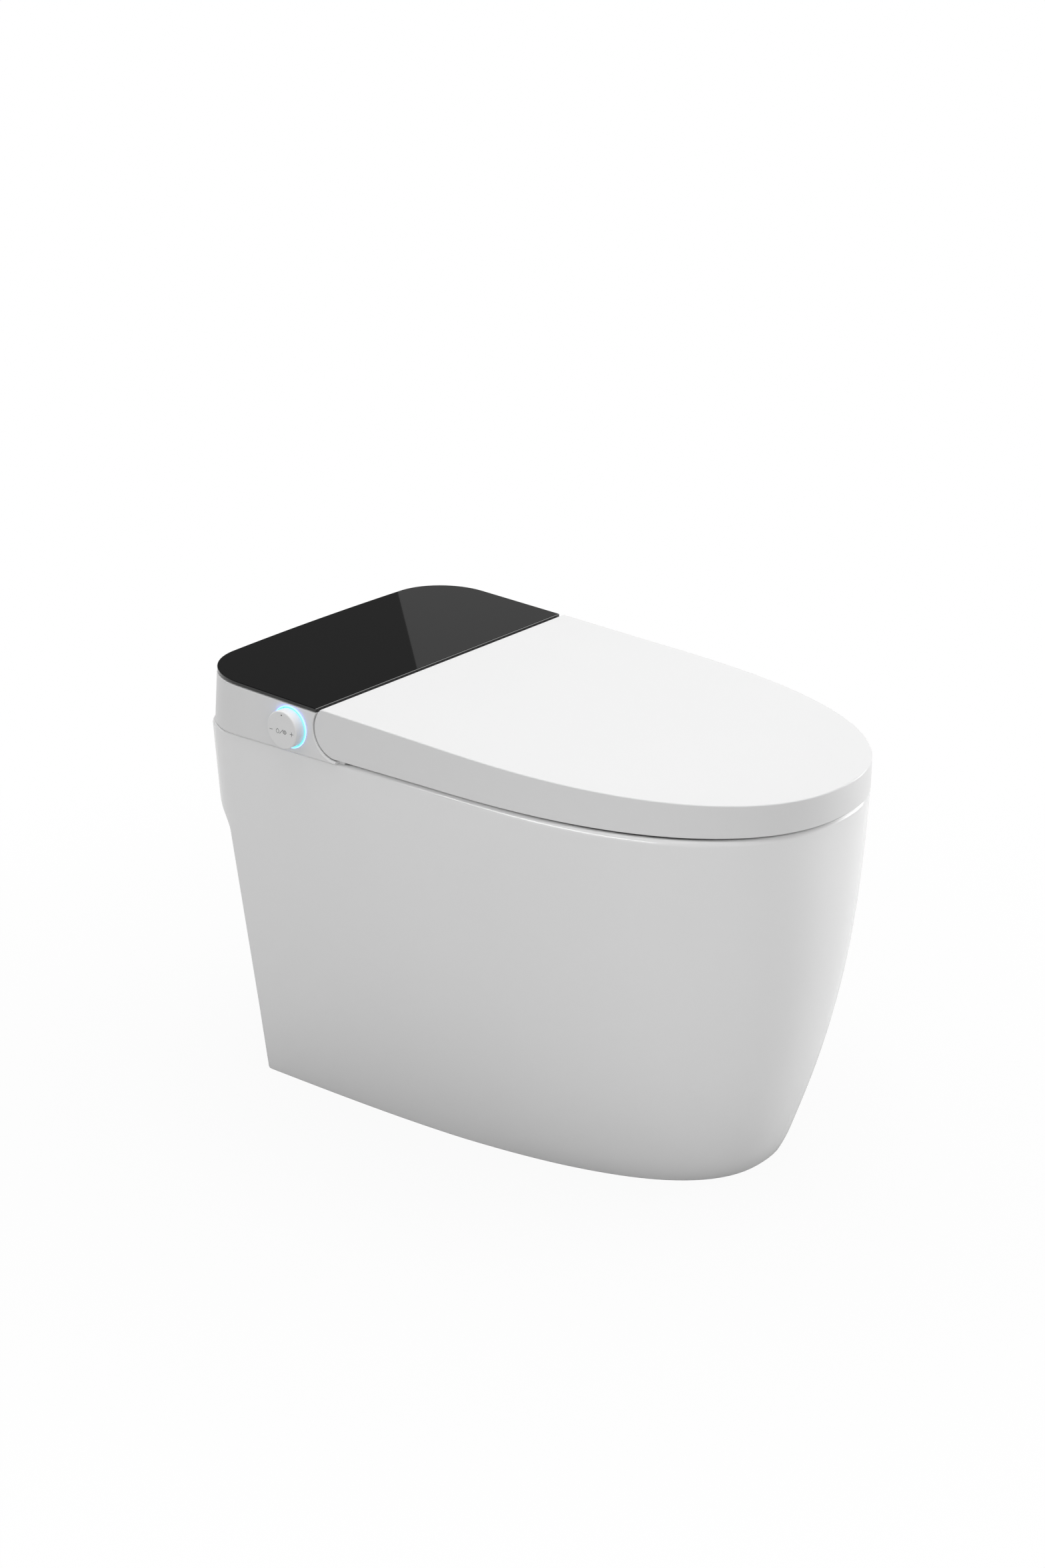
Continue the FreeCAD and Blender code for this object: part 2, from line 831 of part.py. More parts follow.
def seat_buffers():
    half = buffer_length / 2
    edge = buffer_width / 2
    pads = []
    for x, y, half_x, half_y in ((seat_buffer_side_x, seat_buffer_side_y, edge, half),
                                 (seat_buffer_front_x, seat_buffer_front_y, half, edge)):
        pad = box(x - half_x, x + half_x, y - half_y, y + half_y, rim_z + buffer_gap, seat_bottom_z)
        pads += [pad, mirrored(pad)]
    return group(pads)


# Rear housing, glass and chassis
def housing_wall_x(z):
    share = (z - housing_bottom_z) / (glass_front_top_z - housing_bottom_z)
    return side_half_width + housing_flare * (1.0 - share)


def housing_section(z, inset, front_y):
    share = (z - housing_bottom_z) / (glass_front_top_z - housing_bottom_z)
    width = housing_wall_x(z) - inset
    rear = glass_rear_y - housing_rear_bow + housing_rear_flare * (1.0 - share) - inset
    corner = housing_corner_radius - inset
    bend = corner * (1.0 - math.sqrt(0.5))
    side_y = rear - corner
    flat = width - corner
    edges = [Part.makeLine(V(width, front_y, z), V(width, side_y, z))]
    right = V(flat, rear, z)
    left = V(-flat, rear, z)
    right_middle = V(width - bend, rear - bend, z)
    left_middle = V(bend - width, rear - bend, z)
    edges.append(Part.Arc(V(width, side_y, z), right_middle, right).toShape())
    edges.append(Part.Arc(right, V(0, rear + housing_rear_bow, z), left).toShape())
    edges.append(Part.Arc(left, left_middle, V(-width, side_y, z)).toShape())
    edges.append(Part.makeLine(V(-width, side_y, z), V(-width, front_y, z)))
    edges.append(Part.makeLine(V(-width, front_y, z), V(width, front_y, z)))
    return Part.Wire(edges)


def housing_room(inset, front_y, low_z, high_z):
    return Part.makeLoft([housing_section(z, inset, front_y) for z in (low_z, high_z)], True, True)


def glass_prism(inset, front_y):
    wire = housing_section(glass_front_top_z, inset, front_y)
    return Part.Face(wire).extrude(V(0, 0, prism_height)).translated(V(0, 0, -prism_height / 2))


flange_top_z = glass_front_top_z - glass_thickness - gasket_thickness


def screw_places():
    side_x = side_half_width - housing_wall - flange_width / 2
    rear_y = glass_rear_y - housing_wall - flange_width / 2
    right = [(side_x, screw_side_y), (screw_rear_x, rear_y)]
    return right + [(-x, y) for x, y in right]


def screw_seat(y):
    return flange_top_z + glass_slope * (y - glass_front_y) - screw_head_height


def rear_housing():
    high_z = glass_front_top_z + 3 * overrun
    outer = housing_room(0.0, hinge_y, housing_bottom_z, high_z)
    inner = housing_room(housing_wall, hinge_y - overrun, housing_bottom_z - overrun, high_z + overrun)
    below_glass = slab(flange_top_z, glass_slope, prism_height)
    wall = outer.cut(inner).common(below_glass)
    inset = housing_wall + flange_width
    flange = outer.common(slab(flange_top_z, glass_slope, flange_thickness))
    flange = flange.cut(glass_prism(inset, glass_front_y + flange_width))
    pocket_radius = barrel_radius + barrel_gap
    sheet = on_hinge(pocket_radius + housing_wall, -side_half_width, side_half_width)
    back = box(-side_half_width, side_half_width, hinge_y + barrel_radius / 3, glass_rear_y,
               chassis_top_z, high_z)
    sheet = sheet.common(back).common(below_glass).common(outer)
    shell = joined(wall, [flange, sheet])
    cuts = [on_hinge(pocket_radius, -2 * side_half_width, 2 * side_half_width)]
    hole_end = housing_wall + 2 * flange_width - side_half_width
    cuts.append(rod_x(ring_radius, -side_half_width - overrun, hole_end, knob_y, knob_z))
    for x, y in screw_places():
        cuts.append(rod_z(screw_radius, flange_top_z - screw_length, high_z, x, y))
        cuts.append(rod_z(screw_head_radius + ring_clearance, screw_seat(y), high_z, x, y))
    return shell.cut(cuts)


def glass_top():
    return glass_prism(0.0, glass_front_y).common(slab(glass_front_top_z, glass_slope, glass_thickness))


def glass_gasket():
    edge = housing_wall / 3
    middle = glass_prism(housing_wall + flange_width - gasket_edge,
                         glass_front_y + flange_width - gasket_edge / 2)
    ring = glass_prism(edge, glass_front_y + 2 * edge).cut(middle)
    layer = slab(glass_front_top_z - glass_thickness, glass_slope, gasket_thickness)
    return ring.common(layer)


def display_board():
    layer = slab(glass_front_top_z - glass_thickness, glass_slope, board_thickness)
    column = box(-display_half_width, display_half_width, display_front_y, display_rear_y,
                 chassis_top_z, chassis_top_z + prism_height)
    return column.common(layer)


def chassis_base():
    plate = Part.Face(housing_section(chassis_bottom_z, chassis_inset, hinge_y - tower_depth / 2))
    plate = plate.extrude(V(0, 0, chassis_thickness))
    wide = tower_outer_x + apron_margin
    apron = box(-wide, wide, seat_rear_y, hinge_y + tower_depth, chassis_bottom_z, chassis_top_z)
    nose = box(-slot_half_width, slot_half_width, chassis_front_y, hinge_y, chassis_bottom_z, chassis_top_z)
    tower = box(tower_inner_x, tower_outer_x, hinge_y - tower_depth / 2, hinge_y + tower_depth / 2,
                chassis_bottom_z, hinge_z)
    tower = tower.fuse([on_hinge(tower_depth, tower_inner_x, tower_outer_x),
                        on_hinge(spigot_radius, tower_inner_x - spigot_length, tower_inner_x)])
    posts = []
    for x, y in screw_places():
        posts.append(rod_z(post_radius, chassis_bottom_z, glass_front_top_z, x, y))
    below_flange = slab(flange_top_z - flange_thickness, glass_slope, prism_height)
    posts = [post.common(below_flange) for post in posts]
    for x, y in board_places():
        posts.append(rod_z(post_radius, chassis_bottom_z, board_z, x, y))
    base = joined(plate, [apron, nose, tower, mirrored(tower)] + posts)
    cuts = [box(opening_left_x, opening_right_x, opening_front_y, opening_rear_y,
                chassis_bottom_z, chassis_top_z)]
    cuts.append(on_hinge(pin_radius, tower_inner_x - spigot_length, tower_outer_x))
    cuts.append(mirrored(cuts[-1]))
    for x, y in bolt_places():
        cuts.append(rod_z(bolt_radius, chassis_bottom_z, chassis_top_z, x, y))
    for x, y in screw_places():
        cuts.append(rod_z(screw_radius, flange_top_z - screw_length, glass_front_top_z, x, y))
    return base.cut(cuts)


def housing_screws():
    screws = []
    for x, y in screw_places():
        seat = screw_seat(y)
        head_top = seat + screw_head_height - 2 * glass_slope * screw_head_radius
        shank = rod_z(screw_radius, flange_top_z - screw_length, seat, x, y)
        head = rod_z(screw_head_radius, seat, head_top, x, y)
        screws.append(joined(shank, [head]))
    return group(screws)


def deck_plugs():
    plugs = []
    for x, y in bolt_places():
        plug = rod_z(plug_radius, rim_z - plug_length, rim_z, x, y)
        plugs.append(plug.cut(rod_z(bolt_radius, rim_z - plug_length, rim_z, x, y)))
    return group(plugs)


def deck_bolts():
    bolts = []
    for x, y in bolt_places():
        shank = rod_z(bolt_radius, rim_z - plug_length, chassis_top_z, x, y)
        head = rod_z(bolt_head_radius, chassis_top_z, chassis_top_z + bolt_head_height, x, y)
        bolts.append(joined(shank, [head]))
    return group(bolts)


# Control knob on the left wall, measured inwards from the wall's outer face
def knob_rod(radius, near, far):
    wall_x = housing_wall_x(knob_z)
    return rod_x(radius, near - wall_x, far - wall_x, knob_y, knob_z)


knob_hole = knob_radius + ring_clearance


def light_ring():
    ring = knob_rod(ring_radius, -ring_proud, housing_wall)
    return ring.cut(knob_rod(knob_hole, -ring_proud, housing_wall))


base_end = housing_wall + base_depth + base_floor
rotor_room_end = base_end + encoder_depth - encoder_end_wall


def knob_base():
    cup = knob_rod(ring_radius, housing_wall, base_end)
    cup = cup.cut(knob_rod(knob_hole, housing_wall, base_end - base_floor))
    return cup.cut(knob_rod(rotor_radius, housing_wall, base_end))


def encoder_body():
    wall_x = housing_wall_x(knob_z)
    near = base_end - wall_x
    body = box(near, near + encoder_depth, knob_y - encoder_half_size, knob_y + encoder_half_size,
               knob_z - encoder_half_size, knob_z + encoder_half_size)
    return body.cut(knob_rod(rotor_radius + running_clearance, base_end, rotor_room_end))


def encoder_rotor():
    far = rotor_room_end - side_gap
    return knob_rod(rotor_radius, base_end, far).cut(
        knob_rod(knob_shaft_radius + running_clearance, base_end, far))


def control_knob():
    cap = knob_rod(knob_radius, -knob_reach, knob_skirt_depth)
    face_x = -housing_wall_x(knob_z) - knob_reach
    rim = [edge for edge in cap.Edges if edge.BoundBox.XMax < face_x + 0.01]
    cap = cap.makeFillet(knob_wall / 2, rim)
    cap = cap.cut(knob_rod(knob_radius - knob_wall, knob_wall - knob_reach, knob_skirt_depth))
    boss = knob_rod(2 * knob_shaft_radius, knob_wall - knob_reach, knob_skirt_depth)
    boss = boss.cut(knob_rod(knob_shaft_radius, knob_wall - knob_reach, knob_skirt_depth))
    return joined(cap, [boss])


def knob_shaft():
    end = rotor_room_end - shaft_end_gap - knob_travel
    return knob_rod(knob_shaft_radius, knob_wall - knob_reach, end)


# Spray unit: local Y runs back along the wand, local Z up across it
def tilted(shape):
    placed = shape.copy()
    placed.rotate(V(0, 0, 0), V(1, 0, 0), spray_tilt)
    placed.translate(V(0, spray_tip_y, spray_tip_z))
    return placed


def along(radius, x, y0, y1, z):
    return rod(radius, y1 - y0, V(x, y0, z), V(0, 1, 0))


pitch_radius = gear_module * pinion_teeth / 2
rack_line_x = wand_x + wand_radius + 2 * gear_module
pinion_x = rack_line_x + pitch_radius
tooth_rise = 0.6 * gear_module
tooth_root = 1.0 * gear_module
tooth_half = (math.pi * gear_module / 2 - gear_backlash) / 2
pressure = math.radians(20.0)


def rack_box():
    return box(wand_x + wand_radius - rack_embed, rack_line_x - tooth_root, pinion_at - rack_margin,
               pinion_at + wand_travel + rack_margin, -gear_face / 2, gear_face / 2)


def nozzle_rack():
    teeth = []
    pitch = math.pi * gear_module
    count = int(wand_travel / pitch) + 1
    tip_half = tooth_half - tooth_rise * math.tan(pressure)
    root_half = tooth_half + tooth_root * math.tan(pressure)
    root_x = rack_line_x - tooth_root
    tip_x = rack_line_x + tooth_rise
    for index in range(-1, count + 1):
        middle = pinion_at + index * pitch
        corners = [(root_x, middle - root_half), (tip_x, middle - tip_half)]
        corners += [(tip_x, middle + tip_half), (root_x, middle + root_half)]
        points = [V(x, y, -gear_face / 2) for x, y in corners]
        teeth.append(Part.Face(Part.makePolygon(points + points[:1])).extrude(V(0, 0, gear_face)))
    return tilted(joined(rack_box(), teeth))


def involute(angle):
    return math.tan(angle) - angle


def nozzle_pinion():
    base_radius = pitch_radius * math.cos(pressure)
    tip_radius = pitch_radius + tooth_rise
    flank = []
    for share in (0.0, 0.35, 0.7, 1.0):
        radius = mix(base_radius, tip_radius, share)
        lean = involute(math.acos(min(base_radius / radius, 1.0)))
        flank.append((radius, tooth_half / pitch_radius + involute(pressure) - lean))
    flank = [(pitch_radius - tooth_root - pinion_root_gap, flank[0][1])] + flank
    points = []
    for tooth in range(pinion_teeth):
        middle = math.pi + (tooth + 0.5) * 2 * math.pi / pinion_teeth
        turns = [(radius, middle - half) for radius, half in flank]
        turns += [(radius, middle + half) for radius, half in reversed(flank)]
        for radius, turn in turns:
            points.append(V(radius * math.cos(turn), radius * math.sin(turn), 0))
    gear = Part.Face(Part.makePolygon(points + points[:1])).extrude(V(0, 0, gear_face))
    gear.translate(V(pinion_x, pinion_at, -gear_face / 2))
    shaft = rod_z(motor_shaft_radius, tray_low - motor_length / 2, 0, pinion_x, pinion_at)
    return tilted(joined(gear, [shaft]))


tray_low = -guide_radius - tray_thickness


def nozzle_motor():
    body = rod_z(motor_radius, tray_low - motor_length, tray_low, pinion_x, pinion_at)
    bore_low = tray_low - motor_length / 2 - shaft_end_gap
    bore = rod_z(motor_shaft_radius + running_clearance, bore_low, tray_low, pinion_x, pinion_at)
    return tilted(body.cut(bore))


def nozzle_wand():
    tube = along(wand_radius, wand_x, tip_length, wand_length, 0)
    return tilted(tube.cut([along(wand_bore_radius, wand_x, tip_length, wand_length, 0), rack_box()]))


def nozzle_tip():
    cap = along(wand_radius, wand_x, 0, tip_length, 0)
    rim = [edge for edge in cap.Edges if edge.BoundBox.YMax < 0.01]
    cap = cap.makeFillet(wand_radius / 3, rim)
    places = (wand_x - jet_pitch, wand_x, wand_x + jet_pitch)
    jets = [rod_z(jet_radius, wand_radius / 2, wand_radius + overrun, x, jet_at) for x in places]
    return tilted(cap.cut(jets))


def nozzle_guide():
    start = shroud_wall
    sleeve = along(guide_radius, wand_x, start, start + guide_length, 0)
    tray = box(wand_x - guide_radius, pinion_x + motor_radius, start, tray_length,
               tray_low, tray_embed - guide_radius)
    frame = joined(sleeve, [tray])
    cuts = [along(wand_radius + running_clearance, wand_x, start, start + guide_length, 0)]
    cuts.append(box(wand_x, wand_x + 2 * guide_radius, start, start + guide_length, -gear_face, gear_face))
    cuts.append(rod_z(motor_shaft_radius + side_gap, tray_low, 0, pinion_x, pinion_at))
    return tilted(frame.cut(cuts))


flap_axis_z = duct_high + flap_axis_rise


def nozzle_shroud():
    wall = shroud_wall
    half = shroud_half_width
    hood = box(-half, half, 0, shroud_depth, shroud_low, shroud_high)
    room = box(wall - half, half - wall, wall, shroud_depth, shroud_low + wall, shroud_high - wall)
    hood = hood.cut(room)
    for x in (duct_left_x - lug_width - side_gap, duct_right_x + side_gap):
        low = flap_axis_z - lug_half_height
        lug = box(x, x + lug_width, 2 * flap_axis_y, 0, low, low + 2 * lug_half_height)
        hole = rod_x(flap_pin_radius + running_clearance, x, x + lug_width, flap_axis_y, flap_axis_z)
        hood = hood.fuse(lug.cut(hole))
    cuts = [along(wand_radius + ring_clearance, wand_x, -overrun, wall, 0)]
    cuts.append(box(duct_left_x + duct_wall, duct_right_x - duct_wall, 0, wall,
                    duct_low + duct_wall, duct_high - duct_wall))
    under = box(-half, half, slot_front_y, well_rear_y, slot_floor_z, chassis_bottom_z)
    return tilted(hood.removeSplitter().cut(cuts)).common(under)


def dryer_flap():
    front = -flap_clearance - flap_thickness
    plate = box(duct_left_x, duct_right_x, front, -flap_clearance, duct_low - flap_lap, flap_axis_z)
    pin = rod_x(flap_pin_radius, duct_left_x - lug_width, duct_right_x + lug_width,
                flap_axis_y, flap_axis_z)
    return tilted(joined(plate, [pin]))


fan_z = duct_high - fan_radius


def dryer_duct():
    tube = box(duct_left_x, duct_right_x, shroud_wall, duct_length, duct_low, duct_high)
    wall = duct_wall
    return tilted(tube.cut(box(duct_left_x + wall, duct_right_x - wall, shroud_wall, duct_length,
                               duct_low + wall, duct_high - wall)))


def fan_rod(radius, x0, x1):
    return rod_x(radius, x0, x1, fan_at, fan_z)


def dryer_fan_housing():
    wall = duct_wall
    drum = fan_rod(fan_radius, duct_left_x, duct_right_x)
    throat = box(duct_left_x, duct_right_x, duct_length, fan_at, duct_low, duct_high)
    cuts = [fan_rod(fan_radius - wall, duct_left_x + wall, duct_right_x - wall)]
    cuts.append(box(duct_left_x + wall, duct_right_x - wall, duct_length, fan_at,
                    duct_low + wall, duct_high - wall))
    cuts.append(fan_rod(fan_inlet_radius, duct_left_x, duct_left_x + wall))
    cuts.append(fan_rod(fan_shaft_radius + side_gap, duct_right_x - wall, duct_right_x))
    drum = tilted(joined(drum, [throat]))
    centre = tilted(Part.Vertex(0, fan_at, fan_z)).Point
    foot = box(duct_left_x + fan_foot_inset, duct_right_x - fan_foot_inset, centre.y - fan_foot_half_depth,
               centre.y + fan_foot_half_depth, well_floor_z, centre.z)
    return joined(drum, [foot]).cut([tilted(cut) for cut in cuts])


def dryer_rotor():
    near = duct_left_x + duct_wall + wheel_side_gap
    far = duct_right_x - duct_wall - wheel_side_gap
    ring_end = near + wheel_plate
    wheel = fan_rod(fan_wheel_radius, far - wheel_plate, far).fuse(fan_rod(fan_hub_radius, near, far))
    rim = fan_rod(fan_wheel_radius, near, ring_end).cut(fan_rod(fan_wheel_inner, near, ring_end))
    blades = []
    for index in range(fan_blades):
        blade = box(near, far, fan_at - fan_blade / 2, fan_at + fan_blade / 2,
                    fan_z + fan_wheel_inner, fan_z + fan_wheel_radius - blade_tip_gap)
        blade.rotate(V(0, fan_at, fan_z), V(1, 0, 0), index * 360.0 / fan_blades)
        blades.append(blade)
    shaft = fan_rod(fan_shaft_radius, near, duct_right_x + fan_motor_length / 2)
    return tilted(joined(wheel, [rim, shaft] + blades))


def dryer_motor():
    start = duct_right_x
    body = fan_rod(fan_motor_radius, start, start + fan_motor_length)
    bore_end = start + fan_motor_length / 2 + shaft_end_gap
    return tilted(body.cut(fan_rod(fan_shaft_radius + running_clearance, start, bore_end)))


# Water, power and control units in the well and on the chassis
def board_places():
    margin = post_radius + board_margin
    xs = (board_left_x + margin, board_right_x - margin)
    return [(x, y) for x in xs for y in (board_front_y + margin, board_rear_y - margin)]


def hose(points):
    edges = []
    start = points[0]
    for index in range(1, len(points) - 1):
        corner = points[index]
        back = (points[index - 1] - corner).normalize()
        ahead = (points[index + 1] - corner).normalize()
        first = corner + back * hose_bend
        last = corner + ahead * hose_bend
        centre = corner + (back + ahead) * hose_bend
        middle = centre + (corner - centre).normalize() * hose_bend
        edges.append(Part.makeLine(start, first))
        edges.append(Part.Arc(first, middle, last).toShape())
        start = last
    edges.append(Part.makeLine(start, points[-1]))
    heading = (points[1] - points[0]).normalize()
    ring = Part.Wire(Part.makeCircle(hose_radius, points[0], heading))
    return Part.Wire(edges).makePipeShell([ring], True, False)


def water_hoses():
    heater_x = (heater_left_x + heater_right_x) / 2
    over = heater_top_z + 2 * hose_bend
    first = hose([V(inlet_x, inlet_y, valve_top_z), V(inlet_x, inlet_y, over),
                  V(heater_x, inlet_y, over), V(heater_x, inlet_y, heater_top_z)])
    low = (well_floor_z + valve_top_z) / 2
    second = rod(hose_radius, heater_front_y - spray_valve_rear_y,
                 V(heater_x, spray_valve_rear_y, low), V(0, 1, 0))
    valve_rear = inlet_y + valve_half_depth
    behind = valve_rear + hose_bend + hose_rear_gap
    third = hose([V(inlet_x, valve_rear, low), V(inlet_x, behind, low),
                  V(pump_x, behind, low), V(pump_x, pump_y, low)])
    return group([first, second, third.cut(flush_pump())])


def water_heater():
    return box(heater_left_x, heater_right_x, heater_front_y, heater_rear_y, well_floor_z, heater_top_z)


def inlet_valve():
    return box(inlet_x - valve_half_width, inlet_x + valve_half_width, inlet_y - valve_half_depth,
               inlet_y + valve_half_depth, well_floor_z, valve_top_z)


def spray_valve():
    front_y = spray_valve_rear_y - spray_valve_depth
    return box(heater_left_x + spray_valve_inset, heater_right_x - spray_valve_inset, front_y,
               spray_valve_rear_y, well_floor_z, valve_top_z)


def inlet_fitting():
    flange_low = shelf_bottom_z - inlet_flange_thickness
    thread_low = flange_low - inlet_thread_length
    body = rod_z(inlet_shank_radius, flange_low, well_floor_z, inlet_x, inlet_y)
    flange = rod_z(inlet_flange_radius, flange_low, shelf_bottom_z, inlet_x, inlet_y)
    thread = rod_z(inlet_thread_radius, thread_low, flange_low, inlet_x, inlet_y)
    bore_radius = inlet_thread_radius - inlet_thread_wall
    bore = rod_z(bore_radius, thread_low, well_floor_z, inlet_x, inlet_y)
    return joined(body, [flange, thread]).cut(bore)


def cord_gland():
    low = shelf_bottom_z - gland_flange_thickness
    high = well_floor_z + gland_nut_thickness
    wide = gland_radius + gland_flange_width
    body = rod_z(gland_radius - gland_clearance, low, high, gland_x, gland_y)
    flange = rod_z(wide, low, shelf_bottom_z, gland_x, gland_y)
    nut = rod_z(wide, well_floor_z, high, gland_x, gland_y)
    return joined(body, [flange, nut]).cut(rod_z(cord_radius, low, high, gland_x, gland_y))


def flush_pump():
    body = rod_z(pump_radius, well_floor_z, well_floor_z + pump_height, pump_x, pump_y)
    stub_end = pump_y - pump_radius - pipe_socket
    stub = rod(pipe_radius + pipe_wall, pump_radius + pipe_socket, V(pipe_x, stub_end, pipe_z), V(0, 1, 0))
    pump = joined(body, [stub])
    return pump.cut(rod(pipe_radius, pipe_socket, V(pipe_x, stub_end, pipe_z), V(0, 1, 0)))


def flush_pipe():
    rear = pump_y - pump_radius
    front = pipe_front_y
    tube = rod(pipe_radius, rear - front, V(pipe_x, front, pipe_z), V(0, 1, 0))
    return tube.cut(rod(pipe_radius - pipe_wall, rear - front, V(pipe_x, front, pipe_z), V(0, 1, 0)))


def floor_seal():
    high = seal_gap + seal_height
    ring = rod_z(seal_radius, seal_gap, high, 0, 0)
    return ring.cut(rod_z(trap_bore_radius + trap_wall, seal_gap, high, 0, 0))


def block(size, x, y, z):
    return Part.makeBox(size[0], size[1], size[2], V(x, y, z))


def power_supply():
    return block(supply_size, supply_x, supply_y, chassis_top_z)


def deodoriser():
    unit = block(filter_size, filter_x, filter_y, chassis_top_z)
    top = chassis_top_z + filter_size[2]
    middle_x = filter_x + filter_size[0] / 2
    middle_y = filter_y + filter_size[1] / 2
    return joined(unit, [rod_z(filter_cap_radius, top, top + filter_cap_height, middle_x, middle_y)])


def control_board():
    top = board_z + board_thickness
    plate = box(board_left_x, board_right_x, board_front_y, board_rear_y, board_z, top)
    x = board_left_x
    y = board_front_y
    relay = block(relay_size, x + relay_x, y + relay_y, top)
    chip = block(chip_size, x + chip_x, y + chip_y, top)
    strip = block(plug_strip_size, x + plug_strip_x, y + plug_strip_y, top)
    capacitor = rod_z(capacitor_radius, top, top + capacitor_height, x + capacitor_x, y + capacitor_y)
    return joined(plate, [relay, chip, strip, capacitor])


# Write one file for each piece
cavity = lid_cavity()
upper = seat_upper_shell()
china = china_shell()
save("ceramic_front", china.cut(rear_zone()))
save("ceramic_rear", china.common(rear_zone()))
save("ceramic_bowl", ceramic_bowl())
save("ceramic_trap", ceramic_trap())
save("lid_shell", lid_shell(cavity))
save("lid_buffers", lid_buffers(cavity))
save("lid_bushes", bushes(lid_eye_x, lid_eye_end_x))
save("seat_upper_shell", upper)
save("seat_lower_plate", seat_lower_plate())
save("seat_heater", seat_heater(upper))
save("seat_buffers", seat_buffers())
save("seat_bushes", bushes(seat_eye_x, seat_eye_x + seat_eye_width))
save("hinge_pins", hinge_pins())
save("hinge_barrel_cover", hinge_barrel_cover())
save("lid_damper", damper(-1))
save("seat_damper", damper(1))
save("chassis_base", chassis_base())
save("deck_plugs", deck_plugs())
save("deck_bolts", deck_bolts())
save("rear_housing", rear_housing())
save("housing_screws", housing_screws())
save("glass_top", glass_top())
save("glass_gasket", glass_gasket())
save("display_board", display_board())
save("light_ring", light_ring())
save("knob_base", knob_base())
save("control_knob", control_knob())
save("knob_shaft", knob_shaft())
save("encoder_body", encoder_body())
save("encoder_rotor", encoder_rotor())
save("nozzle_shroud", nozzle_shroud())
save("nozzle_guide", nozzle_guide())
save("nozzle_wand", nozzle_wand())
save("nozzle_tip", nozzle_tip())
save("nozzle_rack", nozzle_rack())
save("nozzle_pinion", nozzle_pinion())
save("nozzle_motor", nozzle_motor())
save("dryer_duct", dryer_duct())
save("dryer_flap", dryer_flap())
save("dryer_fan_housing", dryer_fan_housing())
save("dryer_rotor", dryer_rotor())
save("dryer_motor", dryer_motor())
save("deodoriser", deodoriser())
save("water_heater", water_heater())
save("inlet_valve", inlet_valve())
save("inlet_fitting", inlet_fitting())
save("spray_valve", spray_valve())
save("water_hoses", water_hoses())
save("flush_pump", flush_pump())
save("flush_pipe", flush_pipe())
save("cord_gland", cord_gland())
save("floor_seal", floor_seal())
save("power_supply", power_supply())
save("control_board", control_board())
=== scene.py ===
import json
import math
import bpy
import bmesh
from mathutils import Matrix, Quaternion, Vector

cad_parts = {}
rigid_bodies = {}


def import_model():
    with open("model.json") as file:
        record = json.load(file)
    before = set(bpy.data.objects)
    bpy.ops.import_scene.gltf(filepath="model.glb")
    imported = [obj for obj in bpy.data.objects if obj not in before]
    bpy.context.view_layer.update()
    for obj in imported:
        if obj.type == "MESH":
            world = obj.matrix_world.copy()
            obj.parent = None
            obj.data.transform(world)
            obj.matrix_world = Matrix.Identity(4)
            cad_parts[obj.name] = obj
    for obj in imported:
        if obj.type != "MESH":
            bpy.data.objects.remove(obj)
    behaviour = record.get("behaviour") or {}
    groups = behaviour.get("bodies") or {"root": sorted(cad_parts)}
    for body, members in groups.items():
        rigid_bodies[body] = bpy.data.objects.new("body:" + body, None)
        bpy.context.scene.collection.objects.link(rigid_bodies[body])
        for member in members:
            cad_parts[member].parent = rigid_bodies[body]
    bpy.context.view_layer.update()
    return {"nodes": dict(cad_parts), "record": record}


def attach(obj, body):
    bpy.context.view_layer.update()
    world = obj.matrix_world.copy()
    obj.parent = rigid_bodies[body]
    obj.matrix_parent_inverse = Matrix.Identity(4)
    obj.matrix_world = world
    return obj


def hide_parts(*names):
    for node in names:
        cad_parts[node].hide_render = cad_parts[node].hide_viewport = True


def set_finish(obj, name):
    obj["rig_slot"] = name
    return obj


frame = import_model()
mm = 0.001
runSteps = 400  # points along a rounded front before they are spread evenly
shadeWeight = 80  # large faces lead the shading


# small helpers

def mix(low, high, share):
    return low + (high - low) * share


def clamped(share):
    return min(max(share, 0.0), 1.0)


def eased(share):
    return share * share * (3 - 2 * share)


def evenly(points, count):  # spread points evenly along a run of points
    runs = [0.0]
    for a, b in zip(points, points[1:]):
        runs.append(runs[-1] + (b - a).length)
    spread = []
    at = 0
    for step in range(count + 1):
        goal = runs[-1] * step / count
        while at < len(runs) - 2 and runs[at + 1] < goal:
            at += 1
        share = (goal - runs[at]) / max(runs[at + 1] - runs[at], 1e-9)
        spread.append(points[at].lerp(points[at + 1], min(share, 1.0)))
    return spread


def meshFromLoops(name, loops):  # skin through rings of points, ends filled
    bm = bmesh.new()
    rings = [[bm.verts.new(Vector(p) * mm) for p in loop] for loop in loops]
    count = len(rings[0])
    for low, high in zip(rings, rings[1:]):
        for k in range(count):
            n = (k + 1) % count
            bm.faces.new((low[k], low[n], high[n], high[k]))
    bm.faces.new(list(reversed(rings[0])))
    bm.faces.new(rings[-1])
    return objectFromBmesh(name, bm)


def objectFromBmesh(name, bm):
    bmesh.ops.recalc_face_normals(bm, faces=bm.faces)
    mesh = bpy.data.meshes.new(name)
    bm.to_mesh(mesh)
    bm.free()
    obj = bpy.data.objects.new(name, mesh)
    bpy.context.scene.collection.objects.link(obj)
    return obj


def boxMesh(name, low, high):
    bm = bmesh.new()
    bmesh.ops.create_cube(bm, size=1.0)
    middle = (Vector(low) + Vector(high)) / 2
    for v in bm.verts:
        v.co = Vector(middle[k] + v.co[k] * (high[k] - low[k]) for k in range(3)) * mm
    return objectFromBmesh(name, bm)


